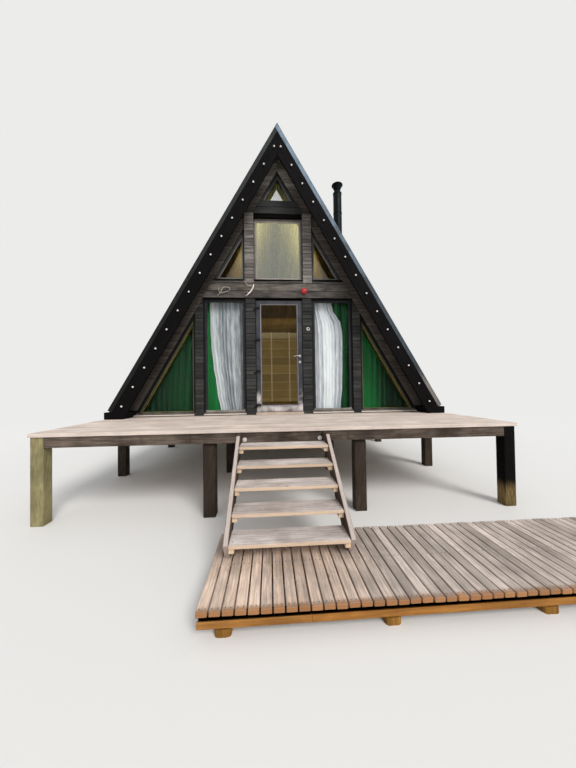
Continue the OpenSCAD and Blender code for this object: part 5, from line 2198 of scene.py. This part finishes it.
@dataclass
class Studio:
    """Camera, lights, floor and background."""

    eye: Place = (-0.1948, -4.9828, 0.4931)
    yaw: float = 0.0653
    pitch: float = 0.0160
    roll: float = -0.0143
    focal_pixels: float = 279.26
    image_high: int = 768
    floor_size: float = 60.0
    pale: Colour = (0.84, 0.84, 0.83)

    def build(self) -> None:
        """Builds the studio."""
        self.set_camera()
        self.lay_floor()
        self.set_world()
        self.shine("daylight", (0.36, -0.70, 0.64), 2.3, 25.0, (1.0, 0.97, 0.93))
        self.shine("front_light", (-0.3, -0.95, 0.08), 0.42, 70.0, (1.0, 0.99, 0.97)).visible_glossy = False
        self.lamp("room_lamp", house(0.0, 2.0, 1.3), (0, -1, 0.45), 1.6, 24.0)
        self.lamp("loft_lamp", house(0.0, 0.7, 3.1), (0, -1, -0.5), 0.9, 30.0)
        bpy.context.scene.view_settings.view_transform = "Standard"

    def set_camera(self) -> None:
        """Sets the camera where the photograph was taken."""
        camera = bpy.data.objects.new("camera", bpy.data.cameras.new("camera"))
        camera.data.sensor_width = 36.0
        camera.data.sensor_fit = "AUTO"
        camera.data.lens = self.focal_pixels / self.image_high * 36.0
        camera.data.clip_end = 300.0
        ahead = Vector((
            math.sin(self.yaw) * math.cos(self.pitch), math.cos(self.yaw) * math.cos(self.pitch),
            math.sin(self.pitch)
        ))
        level = Vector((math.cos(self.yaw), -math.sin(self.yaw), 0.0))
        up = level.cross(ahead)
        right = level * math.cos(self.roll) + up * math.sin(self.roll)
        top = up * math.cos(self.roll) - level * math.sin(self.roll)
        turn = Matrix((right, top, -ahead)).transposed().to_4x4()
        camera.matrix_world = Matrix.Translation(house(*self.eye)) @ turn
        bpy.context.scene.collection.objects.link(camera)
        bpy.context.scene.camera = camera

    def lay_floor(self) -> None:
        """Lays a pale floor that keeps shadows and fades into the background."""
        mesh = bpy.data.meshes.new("floor")
        s = self.floor_size
        mesh.from_pydata([(-s, -s, 0), (s, -s, 0), (s, s, 0), (-s, s, 0)], [], [(0, 1, 2, 3)])
        floor = bpy.data.objects.new("floor", mesh)
        bpy.context.scene.collection.objects.link(floor)
        made = bpy.data.materials.new("pale_floor")
        made.use_nodes = True
        g = Graph(made.node_tree)
        place = g.add("ShaderNodeTexCoord").outputs["Object"]
        far = g.add("ShaderNodeVectorMath", {0: place}, operation="LENGTH").outputs["Value"]
        base = g.add("ShaderNodeBsdfDiffuse", {"Color": (0.80, 0.80, 0.79, 1.0)}).outputs[0]
        glow = g.add("ShaderNodeEmission", {"Color": (*self.pale, 1.0), "Strength": 1.0}).outputs[0]
        blend = g.add("ShaderNodeMixShader", {0: g.span(far, 7.0, 16.0), 1: base, 2: glow}).outputs[0]
        out = g.add("ShaderNodeOutputMaterial")
        g.put(out.inputs["Surface"], blend)
        mesh.materials.append(made)

    def set_world(self) -> None:
        """Sets a pale background and a softer light from all round."""
        world = bpy.data.worlds.new("studio")
        world.use_nodes = True
        bpy.context.scene.world = world
        g = Graph(world.node_tree)
        path = g.add("ShaderNodeLightPath").outputs
        bent = g.math("MAXIMUM", path["Is Glossy Ray"], path["Is Transmission Ray"])
        seen = g.math("MAXIMUM", path["Is Camera Ray"], bent)
        soft = g.add("ShaderNodeBackground", {"Color": (0.97, 0.98, 1.0, 1.0), "Strength": 0.62}).outputs[0]
        pale = g.add("ShaderNodeBackground", {"Color": (*self.pale, 1.0), "Strength": 1.0}).outputs[0]
        mix = g.add("ShaderNodeMixShader", {0: seen, 1: soft, 2: pale}).outputs[0]
        out = g.add("ShaderNodeOutputWorld")
        g.put(out.inputs["Surface"], mix)

    def shine(
        self, name: str, toward: Place, strength: float, spread: float, colour: Colour,
    ) -> bpy.types.Object:
        """Lights the scene from a wide, far source.

        Args:
            name: name of the source.
            toward: direction from the house to the source.
            strength: light on a surface that faces it.
            spread: width of the source in degrees, which softens the shadows.
            colour: its colour.

        Returns:
            The source.
        """
        data = bpy.data.lights.new(name, "SUN")
        data.energy = strength
        data.angle = math.radians(spread)
        data.color = colour
        source = bpy.data.objects.new(name, data)
        source.rotation_euler = Vector(toward).to_track_quat("Z", "Y").to_euler()
        bpy.context.scene.collection.objects.link(source)
        return source

    def lamp(self, name: str, place: Vector, away: Place, size: float, power: float) -> None:
        """Hangs a warm lamp inside the house, which lights the room and doesn't show in the glass."""
        data = bpy.data.lights.new(name, "AREA")
        data.size = size
        data.energy = power
        data.color = (1.0, 0.86, 0.62)
        lamp = bpy.data.objects.new(name, data)
        lamp.location = place
        lamp.rotation_euler = Vector(away).to_track_quat("Z", "Y").to_euler()
        lamp.visible_camera = lamp.visible_glossy = lamp.visible_transmission = False
        bpy.context.scene.collection.objects.link(lamp)


def main() -> None:
    """Builds the house piece by piece."""
    logging.basicConfig(level=logging.INFO, format="%(name)s: %(message)s")
    for part in (
        Studio(), Porch(), Stair(), Walk(), Walls(), Windows(), Door(), Roof(), Flue(), Inside(), Curtains(),
        Ornaments(),
    ):
        log.info("building %s", type(part).__name__)
        part.build()


if __name__ == "__main__":
    main()
